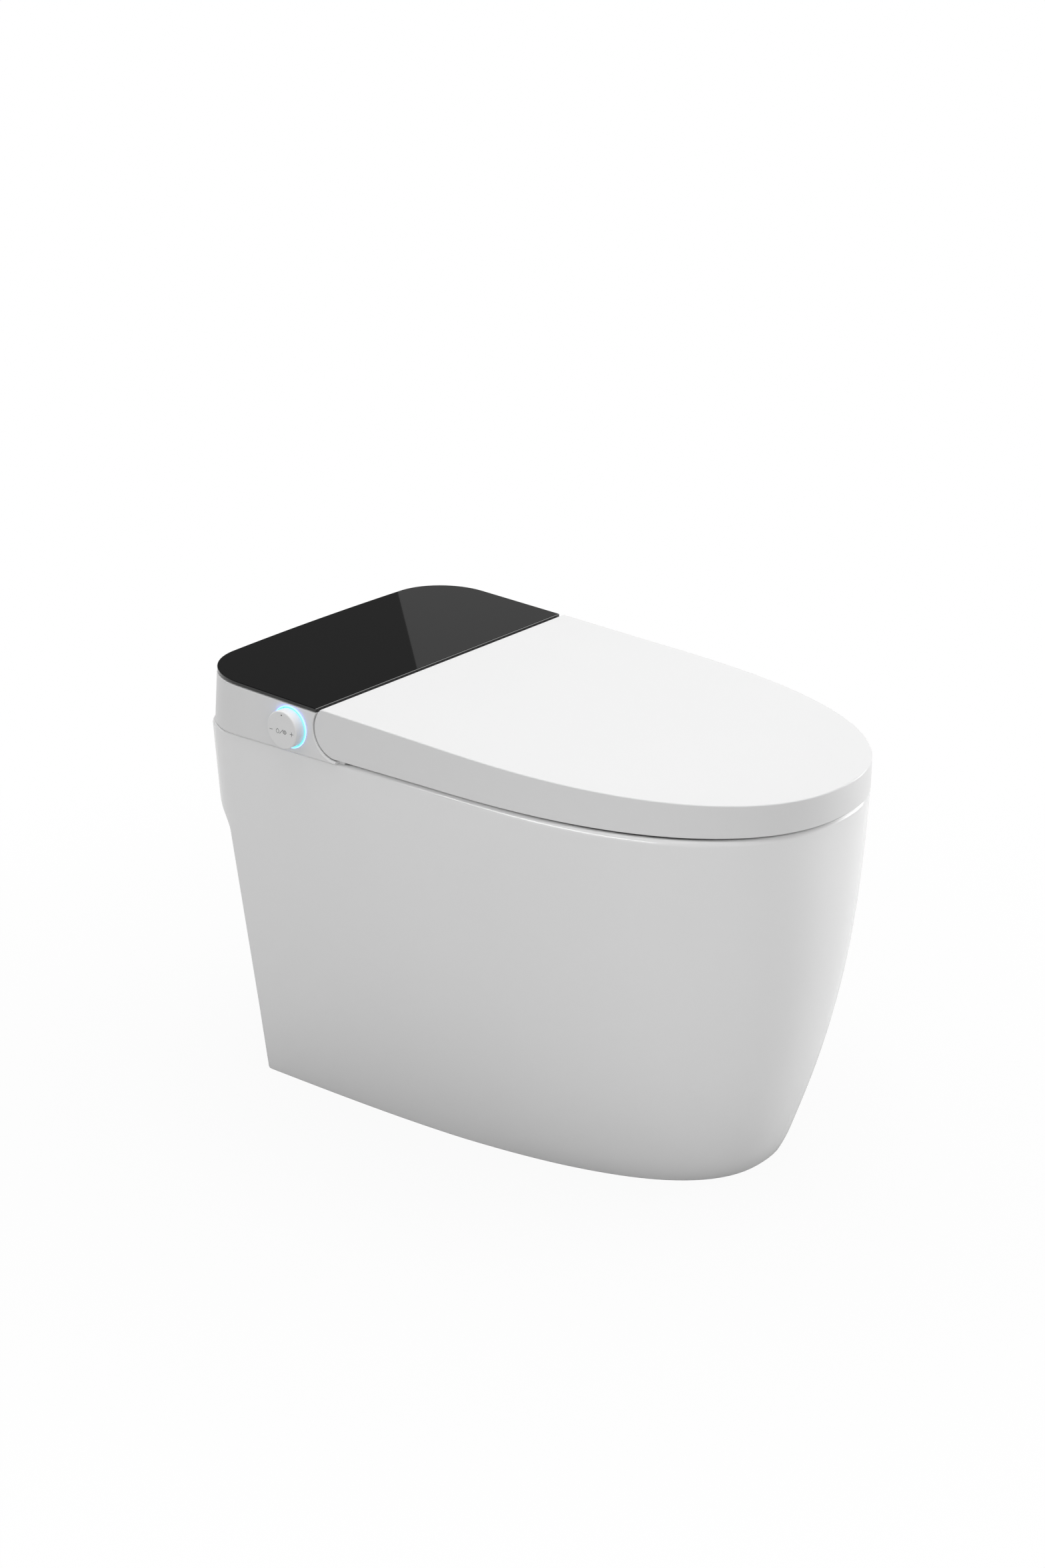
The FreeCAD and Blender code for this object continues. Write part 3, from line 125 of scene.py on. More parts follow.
def tubeMesh(name, path, radius, sides=40):  # round bar through points, closed
    loops = []
    for k, point in enumerate(path):
        along = (path[min(k + 1, len(path) - 1)] - path[max(k - 1, 0)]).normalized()
        across = Vector((0, 1, 0)) if abs(along.x) > 0.5 else Vector((1, 0, 0))
        up = along.cross(across).normalized()
        loops.append([point + (across * math.cos(a) + up * math.sin(a)) * radius
                      for a in (2 * math.pi * s / sides for s in range(sides))])
    return meshFromLoops(name, loops)


def combine(obj, tool, operation):  # boolean, then the tool is dropped
    step = obj.modifiers.new(operation, "BOOLEAN")
    step.operation = operation
    step.solver = "EXACT"
    step.object = tool
    graph = bpy.context.evaluated_depsgraph_get()
    done = bpy.data.meshes.new_from_object(obj.evaluated_get(graph))
    obj.modifiers.clear()
    old = obj.data
    obj.data = done
    bpy.data.meshes.remove(old)
    bpy.data.objects.remove(tool)
    return obj


def smooth(obj, degrees=35.0):
    mesh = obj.data
    mesh.shade_smooth()
    mesh.set_sharp_from_angle(angle=math.radians(degrees))
    level = obj.modifiers.new("levelShading", "WEIGHTED_NORMAL")
    level.keep_sharp = True
    level.weight = shadeWeight
    return obj


def place(obj, body, slot, *nodes):  # put a finished piece in the frame
    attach(obj, body)
    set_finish(obj, slot)
    if nodes:
        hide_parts(*nodes)
    return obj


def cornerPoint(x, y, radius, turn, side=1):  # side -1 for a corner on the left
    return Vector((x + side * radius * math.cos(turn), y + radius * math.sin(turn), 0))


# shared plan outline of the rounded fronts

def outlineX(y, width, startY, tipY, powerY, powerX):
    share = clamped((startY - y) / (startY - tipY))
    return width * (1.0 - share ** powerY) ** (1.0 / powerX)


def frontRun(widthAt, rearY, tipY, count):  # right rear, round the tip, left rear
    dense = []
    for step in range(runSteps + 1):
        turn = math.pi / 2 * step / runSteps
        y = mix(rearY, tipY, math.sin(turn))
        dense.append(Vector((widthAt(y), y, 0)))
    half = evenly(dense, count)
    half[-1].x = 0.0
    return half + [Vector((-p.x, p.y, 0)) for p in reversed(half[:-1])]


# ceramic body

ceramic = {  # plan outlines at the floor and at the rim, in millimetres
    "floor": {"width": 162.1, "start": 293.5, "tip": -315.6, "powerY": 3.53, "powerX": 2.34},
    "rim": {"width": 191.5, "start": -66.0, "tip": -386.5, "powerY": 2.60, "powerX": 2.34},
    "rearWidth": 195.0,
    "toe": 3.0, "toeHeight": 24.0, "toeFrom": (-40.0, -200.0),
    "rimZ": 393.0, "rimRound": 5.5, "rearRound": 2.2, "footRound": 1.6,
    "lip": 2.6, "lipRear": 84.0, "lipRun": 22.0, "lipFlat": 1.5, "lipWidth": 4.0, "lipBlend": 30.0,
    "bellyStart": 1.12, "bellyEnd": 2.6,
    "skirtRear": (226.0, 248.0), "skirtCorner": 8.0,
    "blockRear": 288.0, "blockCorner": 58.0,
    "stepZ": (276.0, 304.0),
    "wall": 12.0, "bulkhead": 182.0,
    "frontSteps": 64, "cornerSteps": 10, "rearSteps": 22, "footSteps": 4, "rimSteps": 8,
    "skirtLevels": 46, "stepLevels": 14, "blockLevels": 8,
    "hollowSkirt": 14, "hollowStep": 5, "hollowFiner": 0.5,
    "bowlTop": (132.0, -4.0, -327.0), "bowlLow": (30.0, -112.0, -196.0),
    "bowlBottomZ": 64.0, "bowlWall": 11.0, "bowlPower": 0.8, "bowlPast": 20.0,
    "bowlLevels": 24, "bowlSides": 96,
    "trapRadius": 26.0, "trapWall": 10.0, "trapCrest": (30.0, 225.0, 50.0),
    "trapRise": 45.0, "trapRiseLength": 160.0, "trapReturn": 60.0, "trapPast": 10.0,
    "riseSteps": 6, "crestSteps": 12, "returnSteps": 8,
    "wellLow": (-150.0, 107.0, 302.0), "wellHigh": (150.0, 262.0, 410.0),
    "slotLow": (-66.0, -74.0, 326.0), "slotHigh": (66.0, 112.0, 410.0),
    "channelFront": -44.0, "shelfReach": (300.0, 400.0, 500.0),
    "recessLow": (-150.0, 150.0, -10.0), "recessHigh": (150.0, 300.0, 284.0),
}


def ceramicRear(z):
    c = ceramic
    low, high = c["stepZ"]
    if z <= low:
        return mix(*c["skirtRear"], z / low), c["skirtCorner"]
    share = eased(min((z - low) / (high - low), 1.0))
    return mix(c["skirtRear"][1], c["blockRear"], share), mix(c["skirtCorner"], c["blockCorner"], share)


def ceramicLoop(z, inset, finer=1.0):
    c = ceramic
    share = min(max(z, 0.0) / c["rimZ"], 1.0)
    belly = 1 - (1 - share ** c["bellyStart"]) ** c["bellyEnd"]
    foot, rim = c["floor"], c["rim"]
    width = mix(foot["width"], rim["width"], share) - inset
    start = mix(foot["start"], rim["start"], share)
    tip = mix(foot["tip"], rim["tip"], belly) + inset
    powerY = mix(foot["powerY"], rim["powerY"], share)
    powerX = mix(foot["powerX"], rim["powerX"], share)
    rear, corner = ceramicRear(max(z, 0.0))
    rear -= inset
    corner = max(corner - inset, c["rimRound"])

    def widthAt(y):
        flare = max(y - start, 0.0) / (c["blockRear"] - start)
        return outlineX(y, width, start, tip, powerY, powerX) + (c["rearWidth"] - rim["width"]) * share * flare

    run = frontRun(widthAt, rear - corner, tip, int(c["frontSteps"] * finer))
    sideX = run[0].x
    for k in range(1, c["cornerSteps"] + 1):  # left rear corner
        turn = math.pi / 2 * k / c["cornerSteps"]
        run.append(cornerPoint(corner - sideX, rear - corner, corner, turn, -1))
    flat = sideX - corner
    for k in range(1, c["rearSteps"]):
        run.append(Vector((mix(-flat, flat, k / c["rearSteps"]), rear, 0)))
    for k in range(c["cornerSteps"]):  # right rear corner
        turn = math.pi / 2 * (1 - k / c["cornerSteps"])
        run.append(cornerPoint(sideX - corner, rear - corner, corner, turn))
    near, far = c["toeFrom"]  # the front draws in a little at the floor
    drawn = c["toe"] * max(1 - max(z, 0.0) / c["toeHeight"], 0.0) ** 2
    loop = []
    for p in run:
        reach = math.hypot(p.x, p.y)
        keep = 1 - drawn * clamped((near - p.y) / (near - far)) / reach
        loop.append(Vector((p.x * keep, p.y * keep, z)))
    return loop


def ceramicLevels(bottom, top, skirt, step):
    low, high = ceramic["stepZ"]
    levels = [mix(bottom, low, k / skirt) for k in range(skirt)]
    levels += [mix(low, high, k / step) for k in range(step)]
    block = ceramic["blockLevels"]
    return levels + [mix(high, top, k / block) for k in range(block + 1)]


def bowlLoops(wall):
    c = ceramic
    levels, sides = c["bowlLevels"], c["bowlSides"]
    loops = []
    for level in range(levels + 1):
        share = (level / levels) ** c["bowlPower"]
        halfX = mix(c["bowlLow"][0], c["bowlTop"][0], share) + wall
        rear = mix(c["bowlLow"][1], c["bowlTop"][1], share) + wall
        front = mix(c["bowlLow"][2], c["bowlTop"][2], share) - wall
        z = mix(c["bowlBottomZ"] - wall, c["rimZ"], level / levels)
        middle, halfY = (rear + front) / 2, (rear - front) / 2
        loops.append([Vector((halfX * math.cos(a), middle + halfY * math.sin(a), z))
                      for a in (2 * math.pi * k / sides for k in range(sides))])
    return loops


def bowlRim(loops, lift):  # carry the last ring straight up
    return loops + [[p + Vector((0, 0, lift)) for p in loops[-1]]]


def trapPath():
    c = ceramic
    y, z, radius = c["trapCrest"]
    rise = math.radians(c["trapRise"])
    centre = Vector((0, y, z - radius))
    riseEnd = centre + Vector((0, -math.sin(rise), math.cos(rise))) * radius
    start = riseEnd - Vector((0, math.cos(rise), math.sin(rise))) * c["trapRiseLength"]
    path = [start.lerp(riseEnd, k / c["riseSteps"]) for k in range(c["riseSteps"])]
    for k in range(c["crestSteps"] + 1):
        turn = mix(math.pi / 2 + rise, 0, k / c["crestSteps"])
        path.append(centre + Vector((0, math.cos(turn), math.sin(turn))) * radius)
    back, steps = c["trapReturn"], c["returnSteps"]  # down to the outlet in two opposite bends
    end = path[-1]
    swing = math.acos(1 - end.y / 2 / back)
    for k in range(1, steps + 1):
        turn = swing * k / steps
        path.append(end + Vector((0, back * math.cos(turn) - back, -back * math.sin(turn))))
    drop = Vector((0, 0, end.z - 2 * back * math.sin(swing)))
    for k in range(1, steps + 1):
        turn = swing * (1 - k / steps)
        path.append(drop + Vector((0, back - back * math.cos(turn), back * math.sin(turn))))
    return path + [Vector((0, 0, 0))]


def ahead(y):  # 0 under the housing, 1 under the lid
    return eased(clamped((ceramic["lipRear"] - y) / ceramic["lipRun"]))


def lifted(loop, share):  # raise the rim to just under the lid
    return [p + Vector((0, 0, ceramic["lip"] * share * ahead(p.y))) for p in loop]


def rimLoop(turn, extra=0.0):  # tight round under the housing, fuller under the lid
    c = ceramic
    tight, full = [ceramicLoop(c["rimZ"] - r * (1 - math.sin(turn)), r * (1 - math.cos(turn)) + extra)
                   for r in (c["rearRound"], c["rimRound"])]
    return lifted([a.lerp(b, ahead(a.y)) for a, b in zip(tight, full)], 1.0)


def makeCeramic():
    c = ceramic
    edgeZ = c["rimZ"] - c["rimRound"]
    loops = []
    for k in range(c["footSteps"]):  # small round at the floor
        turn = math.pi / 2 * k / c["footSteps"]
        loops.append(ceramicLoop(c["footRound"] * (1 - math.cos(turn)), c["footRound"] * (1 - math.sin(turn))))
    for z in ceramicLevels(c["footRound"], edgeZ, c["skirtLevels"], c["stepLevels"]):
        loops.append(lifted(ceramicLoop(z, 0.0), max(1 - (edgeZ - z) / c["lipBlend"], 0.0)))
    loops += [rimLoop(math.pi / 2 * k / c["rimSteps"]) for k in range(1, c["rimSteps"] + 1)]
    loops.append(rimLoop(math.pi / 2, c["lipFlat"]))
    loops.append(ceramicLoop(c["rimZ"], c["rimRound"] + c["lipWidth"]))
    body = meshFromLoops("ceramicBody", loops)
    hollow = [ceramicLoop(z, c["wall"], c["hollowFiner"])
              for z in ceramicLevels(-c["wall"], c["rimZ"] - c["wall"], c["hollowSkirt"], c["hollowStep"])]
    combine(body, meshFromLoops("hollow", hollow), "DIFFERENCE")
    tight = c["wall"] / 2
    wellY, floorZ = c["wellLow"][1], c["wellLow"][2]
    shelf = meshFromLoops("shelf", [ceramicLoop(z, tight, c["hollowFiner"])
                                    for z in (floorZ - c["wall"], floorZ)])
    keep = boxMesh("keep", (-c["shelfReach"][0], wellY - c["wall"], 0), c["shelfReach"])  # behind the bowl
    combine(shelf, keep, "INTERSECT")
    bulkhead = boxMesh("bulkhead", (-c["bulkhead"], wellY - c["wall"], floorZ - c["wall"]),
                       (c["bulkhead"], wellY, c["rimZ"] - tight))  # ends inside the skirt's wall
    slotX, slotZ = c["slotHigh"][0] + c["wall"], c["slotLow"][2]
    channel = boxMesh("channel", (-slotX, c["channelFront"], slotZ - c["wall"]),
                      (slotX, wellY, c["rimZ"] - tight))
    bowlOuter = meshFromLoops("bowlOuter", bowlLoops(c["bowlWall"])[:-1])
    trapOuter = tubeMesh("trapOuter", trapPath(), c["trapRadius"] + c["trapWall"])
    for tool in (shelf, bulkhead, channel, bowlOuter, trapOuter):
        combine(body, tool, "UNION")
    bowl = meshFromLoops("bowl", bowlRim(bowlLoops(0.0), c["bowlPast"]))
    trap = tubeMesh("trap", trapPath() + [Vector((0, 0, -c["trapPast"]))], c["trapRadius"])
    well = boxMesh("well", c["wellLow"], c["wellHigh"])
    slot = boxMesh("slot", c["slotLow"], c["slotHigh"])
    recess = boxMesh("recess", c["recessLow"], c["recessHigh"])
    for tool in (bowl, trap, well, slot, recess):
        combine(body, tool, "DIFFERENCE")
    return place(smooth(body), "root", "ceramic",
                 "ceramic_front", "ceramic_rear", "ceramic_bowl", "ceramic_trap")


ceramicBody = makeCeramic()
print("ceramic body:", len(ceramicBody.data.polygons), "faces")


# lid

lid = {
    "rearWidth": 195.0, "width": 193.2, "start": -35.8, "tip": -391.2, "powerY": 2.534, "powerX": 2.212,
    "flareFrom": 108.0, "topAtFlare": 447.96, "slope": 0.0374,
    "hinge": (82.4, 426.5), "barrel": 28.5, "wall": 4.0,
    "topRound": 1.4, "footRound": 1.0, "cornerRound": 1.2,
    "lipDrop": 5.0, "towers": (110.5, 141.5), "notchRise": 14.0,
    "eyes": (160.0, 172.0), "eyeRadius": 12.0, "bushRadius": 7.0,
    "frontSteps": 72, "rearSteps": 20, "cornerSteps": 4, "settleSteps": 12,
    "footSteps": 4, "sideLevels": 16, "topSteps": 5, "roomLevels": 12,
    "cutPast": 10.0, "backReach": 40.0, "ribGap": 2.0, "borePast": 5.0,
}


def lidWidth(y, inset):
    share = clamped((lid["flareFrom"] - y) / (lid["flareFrom"] - lid["start"]))
    width = mix(lid["rearWidth"], lid["width"], share) - inset
    return outlineX(y, width, lid["start"], lid["tip"] + inset, lid["powerY"], lid["powerX"])


def lidTop(y):
    return lid["topAtFlare"] + lid["slope"] * (y - lid["flareFrom"])


def lidLoop(zAt, inset, barrelInset):
    hingeY, hingeZ = lid["hinge"]
    radius = lid["barrel"] - barrelInset
    rear = hingeY + radius
    for _ in range(lid["settleSteps"]):  # settle on the round rear end
        rear = hingeY + math.sqrt(max(radius ** 2 - (zAt(rear) - hingeZ) ** 2, 0.0))
    corner, steps = lid["cornerRound"], lid["cornerSteps"]
    run = frontRun(lambda y: lidWidth(y, inset), rear - corner, lid["tip"] + inset, lid["frontSteps"])
    sideX = run[0].x
    for k in range(1, steps + 1):
        turn = math.pi / 2 * k / steps
        run.append(cornerPoint(corner - sideX, rear - corner, corner, turn, -1))
    for k in range(1, lid["rearSteps"]):
        run.append(Vector((mix(corner - sideX, sideX - corner, k / lid["rearSteps"]), rear, 0)))
    for k in range(steps):
        turn = math.pi / 2 * (1 - k / steps)
        run.append(cornerPoint(sideX - corner, rear - corner, corner, turn))
    return [Vector((p.x, p.y, zAt(p.y))) for p in run]


def makeLid():
    hingeY, hingeZ = lid["hinge"]
    bottom = hingeZ - lid["barrel"]
    foot, top = lid["footRound"], lid["topRound"]
    loops = []
    for k in range(lid["footSteps"]):
        turn = math.pi / 2 * k / lid["footSteps"]
        loops.append(lidLoop(lambda y: bottom + foot * (1 - math.cos(turn)), foot * (1 - math.sin(turn)), 0.0))
    for k in range(lid["sideLevels"] + 1):
        share = k / lid["sideLevels"]
        loops.append(lidLoop(lambda y: mix(bottom + foot, lidTop(y) - top, share), 0.0, 0.0))
    for k in range(1, lid["topSteps"] + 1):
        turn = math.pi / 2 * k / lid["topSteps"]
        inset = top * (1 - math.cos(turn))
        loops.append(lidLoop(lambda y: lidTop(y) - top * (1 - math.sin(turn)), inset, inset))
    shell = meshFromLoops("lidShell", loops)
    wall, below, levels = lid["wall"], bottom - lid["cutPast"], lid["roomLevels"]
    room = meshFromLoops("room", [lidLoop(lambda y: mix(below, lidTop(y) - wall, k / levels), wall, wall)
                                  for k in range(levels + 1)])
    combine(shell, room, "DIFFERENCE")
    backY = hingeY + lid["backReach"]
    openBack = boxMesh("openBack", (wall - lid["rearWidth"], hingeY, below),
                       (lid["rearWidth"] - wall, backY, hingeZ - lid["lipDrop"]))
    combine(shell, openBack, "DIFFERENCE")
    for side in (-1, 1):
        near, far = sorted(side * x for x in lid["towers"])
        notch = boxMesh("notch", (near, hingeY, below), (far, backY, hingeZ + lid["notchRise"]))
        combine(shell, notch, "DIFFERENCE")
        near, far = sorted(side * x for x in lid["eyes"])
        pivot = [Vector((near, hingeY, hingeZ)), Vector((far, hingeY, hingeZ))]
        rib = boxMesh("rib", (near, hingeY - lid["eyeRadius"], hingeZ),
                      (far, hingeY + lid["eyeRadius"], lidTop(hingeY) - lid["ribGap"]))
        combine(rib, tubeMesh("eye", pivot, lid["eyeRadius"]), "UNION")
        past = Vector((lid["borePast"], 0, 0))
        combine(rib, tubeMesh("bore", [pivot[0] - past, pivot[1] + past], lid["bushRadius"]), "DIFFERENCE")
        combine(shell, rib, "UNION")
    return place(smooth(shell), "lid", "white_gloss", "lid_shell")


lidShell = makeLid()
print("lid:", len(lidShell.data.polygons), "faces")


# rear housing and glass cover

housing = {
    "halfWidth": 195.0, "bottomZ": 395.2, "footZ": 393.3,
    "flare": 1.5, "rearFlare": 4.0, "corner": 66.0, "bow": 2.6,
    "glassFront": 108.0, "glassRear": 285.0, "glassTop": 447.1, "slope": 0.0407,
    "glass": 4.0, "gasket": 0.8, "wall": 3.0, "plate": 2.5, "ledge": 12.0, "pocketGap": 1.5,
    "footRound": 2.0, "topRound": 0.7, "bevel": 0.7, "bevelBulge": 0.3, "pocketEdge": 0.9, "glassSharp": 20.0,
    "sideSteps": 16, "cornerSteps": 16, "rearSteps": 28, "frontSteps": 12,
    "footSteps": 6, "wallLevels": 10, "topSteps": 4, "barSides": 128,
    "barReach": 260.0, "roomAhead": 20.0, "roomBelow": 10.0, "openingRise": 12.0, "mouthPast": 2.0,
}


def glassZ(y):
    return housing["glassTop"] + housing["slope"] * (y - housing["glassFront"])


def housingLoop(z, inset, front, zAt):
    h = housing
    share = (z - h["bottomZ"]) / (h["glassTop"] - h["bottomZ"])
    width = h["halfWidth"] + h["flare"] * (1 - share) - inset
    rear = h["glassRear"] - h["bow"] + h["rearFlare"] * (1 - share) - inset
    corner = h["corner"] - inset
    side, flat = rear - corner, width - corner
    run = [Vector((width, mix(front, side, k / h["sideSteps"]), 0)) for k in range(h["sideSteps"])]
    for k in range(h["cornerSteps"]):
        turn = math.pi / 2 * k / h["cornerSteps"]
        run.append(Vector((flat + corner * math.cos(turn), side + corner * math.sin(turn), 0)))
    for k in range(h["rearSteps"] + 1):
        x = mix(flat, -flat, k / h["rearSteps"])
        run.append(Vector((x, rear + h["bow"] * (1 - (x / flat) ** 2), 0)))
    for k in range(1, h["cornerSteps"] + 1):
        turn = math.pi / 2 * (1 + k / h["cornerSteps"])
        run.append(Vector((-flat + corner * math.cos(turn), side + corner * math.sin(turn), 0)))
    run += [Vector((-width, mix(side, front, k / h["sideSteps"]), 0)) for k in range(1, h["sideSteps"] + 1)]
    run += [Vector((mix(-width, width, k / h["frontSteps"]), front, 0)) for k in range(1, h["frontSteps"])]
    return [Vector((p.x, p.y, zAt(p.y))) for p in run]


def circle(x, centre, radius):
    sides = housing["barSides"]
    return [Vector((x, centre[0] + radius * math.cos(a), centre[1] + radius * math.sin(a)))
            for a in (2 * math.pi * k / sides for k in range(sides))]


def hingeBar(name, radius):
    half = housing["barReach"]
    ends = [Vector((x, *lid["hinge"])) for x in (-half, half)]
    return tubeMesh(name, ends, radius, housing["barSides"])


def makeHousing():
    h = housing
    hingeY = lid["hinge"][0]
    sink = h["glass"] + h["gasket"]
    foot, top = h["footRound"], h["topRound"]
    loops = []
    for k in range(h["footSteps"]):
        turn = math.pi / 2 * k / h["footSteps"]
        z = h["footZ"] + foot * (1 - math.cos(turn))
        loops.append(housingLoop(z, foot * (1 - math.sin(turn)), hingeY, lambda y: z))
    for k in range(h["wallLevels"] + 1):
        share = k / h["wallLevels"]
        loops.append(housingLoop(mix(h["footZ"] + foot, h["glassTop"] - sink, share), 0.0, hingeY,
                                 lambda y: mix(h["footZ"] + foot, glassZ(y) - sink - top, share)))
    for k in range(1, h["topSteps"] + 1):
        turn = math.pi / 2 * k / h["topSteps"]
        loops.append(housingLoop(h["glassTop"] - sink, top * (1 - math.cos(turn)), hingeY,
                                 lambda y: glassZ(y) - sink - top * (1 - math.sin(turn))))
    shell = meshFromLoops("rearHousing", loops)
    roof, roomFront = sink + h["plate"], hingeY - h["roomAhead"]
    room = meshFromLoops("room", [
        housingLoop(h["bottomZ"], h["wall"], roomFront, lambda y: h["bottomZ"] - h["roomBelow"]),
        housingLoop(h["glassTop"], h["wall"], roomFront, lambda y: glassZ(y) - roof)])
    pocket = lid["barrel"] + h["pocketGap"]
    combine(room, hingeBar("pocketSkin", pocket + h["wall"]), "DIFFERENCE")
    combine(shell, room, "DIFFERENCE")
    edge = h["wall"] + h["ledge"]
    opening = meshFromLoops("opening", [
        housingLoop(h["glassTop"], edge, h["glassFront"] + h["ledge"], lambda y: glassZ(y) + rise)
        for rise in (-h["openingRise"], h["openingRise"])])
    combine(shell, opening, "DIFFERENCE")
    combine(shell, hingeBar("pocket", pocket), "DIFFERENCE")
    for side in (-1, 1):  # broken edge round the pocket's mouth
        mouth = side * (h["halfWidth"] + h["flare"] / 2)
        combine(shell, meshFromLoops("mouth", [
            circle(mouth + side * out, lid["hinge"], pocket + h["pocketEdge"] + out)
            for out in (-h["pocketEdge"], h["mouthPast"])]), "DIFFERENCE")
    combine(shell, knobBar("knobHole", knob["ringRadius"], *knob["hole"]), "DIFFERENCE")
    return place(smooth(shell), "root", "white_gloss", "rear_housing")


def makeGlass():
    h = housing
    bevel = h["bevel"]
    soft = bevel * h["bevelBulge"]
    steps = [(bevel / 2, -h["glass"]), (0.0, bevel / 2 - h["glass"]),
             (0.0, -bevel), (soft, -soft), (bevel, 0.0)]
    loops = [housingLoop(h["glassTop"], inset, h["glassFront"] + inset, lambda y: glassZ(y) + drop)
             for inset, drop in steps]
    return place(smooth(meshFromLoops("glassTop", loops), h["glassSharp"]), "root", "black_glass", "glass_top")


# control knob, measured outwards from the left wall

knob = {
    "wallX": 195.786, "y": 143.0, "z": 420.0, "radius": 20.0, "reach": 12.5, "skirt": 10.0, "wall": 2.5,
    "rimRound": 1.3, "rimSteps": 8, "axis": 0.05, "sides": 128, "hole": (-30.0, 10.0),
    "ringRadius": 22.2, "ringHole": 20.4, "ringProud": 0.8, "ringDepth": 3.0, "ringRound": 0.3,
}


def knobBar(name, radius, near, far):
    x = -knob["wallX"]
    return tubeMesh(name, [Vector((x - far, knob["y"], knob["z"])), Vector((x - near, knob["y"], knob["z"]))],
                    radius, knob["sides"])


def lathe(name, profile):  # spin (out, radius) pairs round the knob's axis, closed on itself
    bm = bmesh.new()
    rings = []
    for out, radius in profile:
        ring = []
        for k in range(knob["sides"]):
            turn = 2 * math.pi * k / knob["sides"]
            ring.append(bm.verts.new(Vector((-knob["wallX"] - out, knob["y"] + radius * math.cos(turn),
                                             knob["z"] + radius * math.sin(turn))) * mm))
        rings.append(ring)
    for a, b in zip(rings, rings[1:] + rings[:1]):
        for k in range(knob["sides"]):
            n = (k + 1) % knob["sides"]
            bm.faces.new((a[k], a[n], b[n], b[k]))
    return objectFromBmesh(name, bm)


def makeKnob():
    n = knob
    profile = [(n["reach"], n["axis"])]
    for k in range(n["rimSteps"] + 1):
        turn = math.pi / 2 * k / n["rimSteps"]
        profile.append((n["reach"] - n["rimRound"] * (1 - math.cos(turn)),
                        n["radius"] - n["rimRound"] * (1 - math.sin(turn))))
    inner = n["radius"] - n["wall"]
    profile += [(-n["skirt"], n["radius"]), (-n["skirt"], inner), (n["reach"] - n["wall"], inner),
                (n["reach"] - n["wall"], n["axis"])]
    return place(smooth(lathe("controlKnob", profile)), "knob", "white_satin", "control_knob")


def makeRing():
    n = knob
    soft = n["ringRound"]
    profile = [(-n["ringDepth"], n["ringHole"]), (-n["ringDepth"], n["ringRadius"]),
               (n["ringProud"] - soft, n["ringRadius"]), (n["ringProud"], n["ringRadius"] - soft),
               (n["ringProud"], n["ringHole"] + soft), (n["ringProud"] - soft, n["ringHole"])]
    return place(smooth(lathe("lightRing", profile)), "root", "light_guide", "light_ring")


signs = {  # on the knob's face, (across, up) from its middle, most of them from the height of "row"
    "row": -1.6, "line": 0.5, "lift": 0.02, "depth": 0.015,
    "less": {"across": 14.3, "half": 2.1}, "more": {"across": -13.7, "half": 2.3},
    "slash": ((-2.2, 2.6), (2.8, -2.5)),
    "drop": ((5.4, 2.5), (7.4, 0.2), (6.9, -1.7), (5.4, -2.4), (3.9, -1.7), (3.4, 0.2), (5.4, 2.5)),
    "swirl": {"middle": (-4.4, 0.4), "radii": (0.35, 2.5), "turns": 2.1, "steps": 48},
    "dot": {"middle": (-0.5, 15.9), "radius": 0.75, "sides": 24},
}


def strokes():
    row = signs["row"]
    less, more, swirl = signs["less"], signs["more"], signs["swirl"]
    runs = [[(less["across"] - less["half"], row), (less["across"] + less["half"], row)],
            [(more["across"] - more["half"], row), (more["across"] + more["half"], row)],
            [(more["across"], row - more["half"]), (more["across"], row + more["half"])]]
    runs += [[(across, row + up) for across, up in signs[sign]] for sign in ("slash", "drop")]
    coil = []
    for k in range(swirl["steps"] + 1):
        share = k / swirl["steps"]
        turn = share * swirl["turns"] * 2 * math.pi
        radius = mix(*swirl["radii"], share)
        coil.append((swirl["middle"][0] + radius * math.cos(turn),
                     row + swirl["middle"][1] + radius * math.sin(turn)))
    return runs + [coil]


def makeMarks():
    n = knob
    bm = bmesh.new()
    x = -n["wallX"] - n["reach"] - signs["lift"]

    def corner(across, up):
        return bm.verts.new(Vector((x, n["y"] + across, n["z"] + up)) * mm)

    for run in strokes():
        points = [Vector(p) for p in run]
        sides = []
        for k, point in enumerate(points):
            along = (points[min(k + 1, len(points) - 1)] - points[max(k - 1, 0)]).normalized()
            out = Vector((-along.y, along.x)) * signs["line"] / 2
            sides.append((corner(*(point + out)), corner(*(point - out))))
        for a, b in zip(sides, sides[1:]):
            bm.faces.new((a[0], b[0], b[1], a[1]))
    dot = signs["dot"]
    (across, up), radius, count = dot["middle"], dot["radius"], dot["sides"]
    bm.faces.new([corner(across + radius * math.cos(a), up + radius * math.sin(a))
                  for a in (2 * math.pi * k / count for k in range(count))])
    marks = objectFromBmesh("knobMarks", bm)
    thick = marks.modifiers.new("inkDepth", "SOLIDIFY")
    thick.thickness = signs["depth"] * mm
    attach(marks, "knob")
    return marks


rearHousing = makeHousing()
glassTop = makeGlass()
controlKnob = makeKnob()
lightRing = makeRing()
knobMarks = makeMarks()
print("housing, glass, knob and ring done")


# finishes

fineLift, middleLift, coarseLift = 0.00001, 0.00002, 0.00003  # height of the surface grain, in metres
coatRough = 0.05
fineDetail = 4.0


def grey(value):
    return (value, value, value)


def newFinish(name):
    material = bpy.data.materials.new(name)
    material.use_nodes = True
    nodes = material.node_tree.nodes
    return material, nodes, material.node_tree.links, nodes["Principled BSDF"]


def addNoise(nodes, links, scale, detail=3.0):
    coordinates = nodes.new("ShaderNodeTexCoord")
    noise = nodes.new("ShaderNodeTexNoise")
    noise.inputs["Scale"].default_value = scale
    noise.inputs["Detail"].default_value = detail
    links.new(coordinates.outputs["Object"], noise.inputs["Vector"])
    return noise


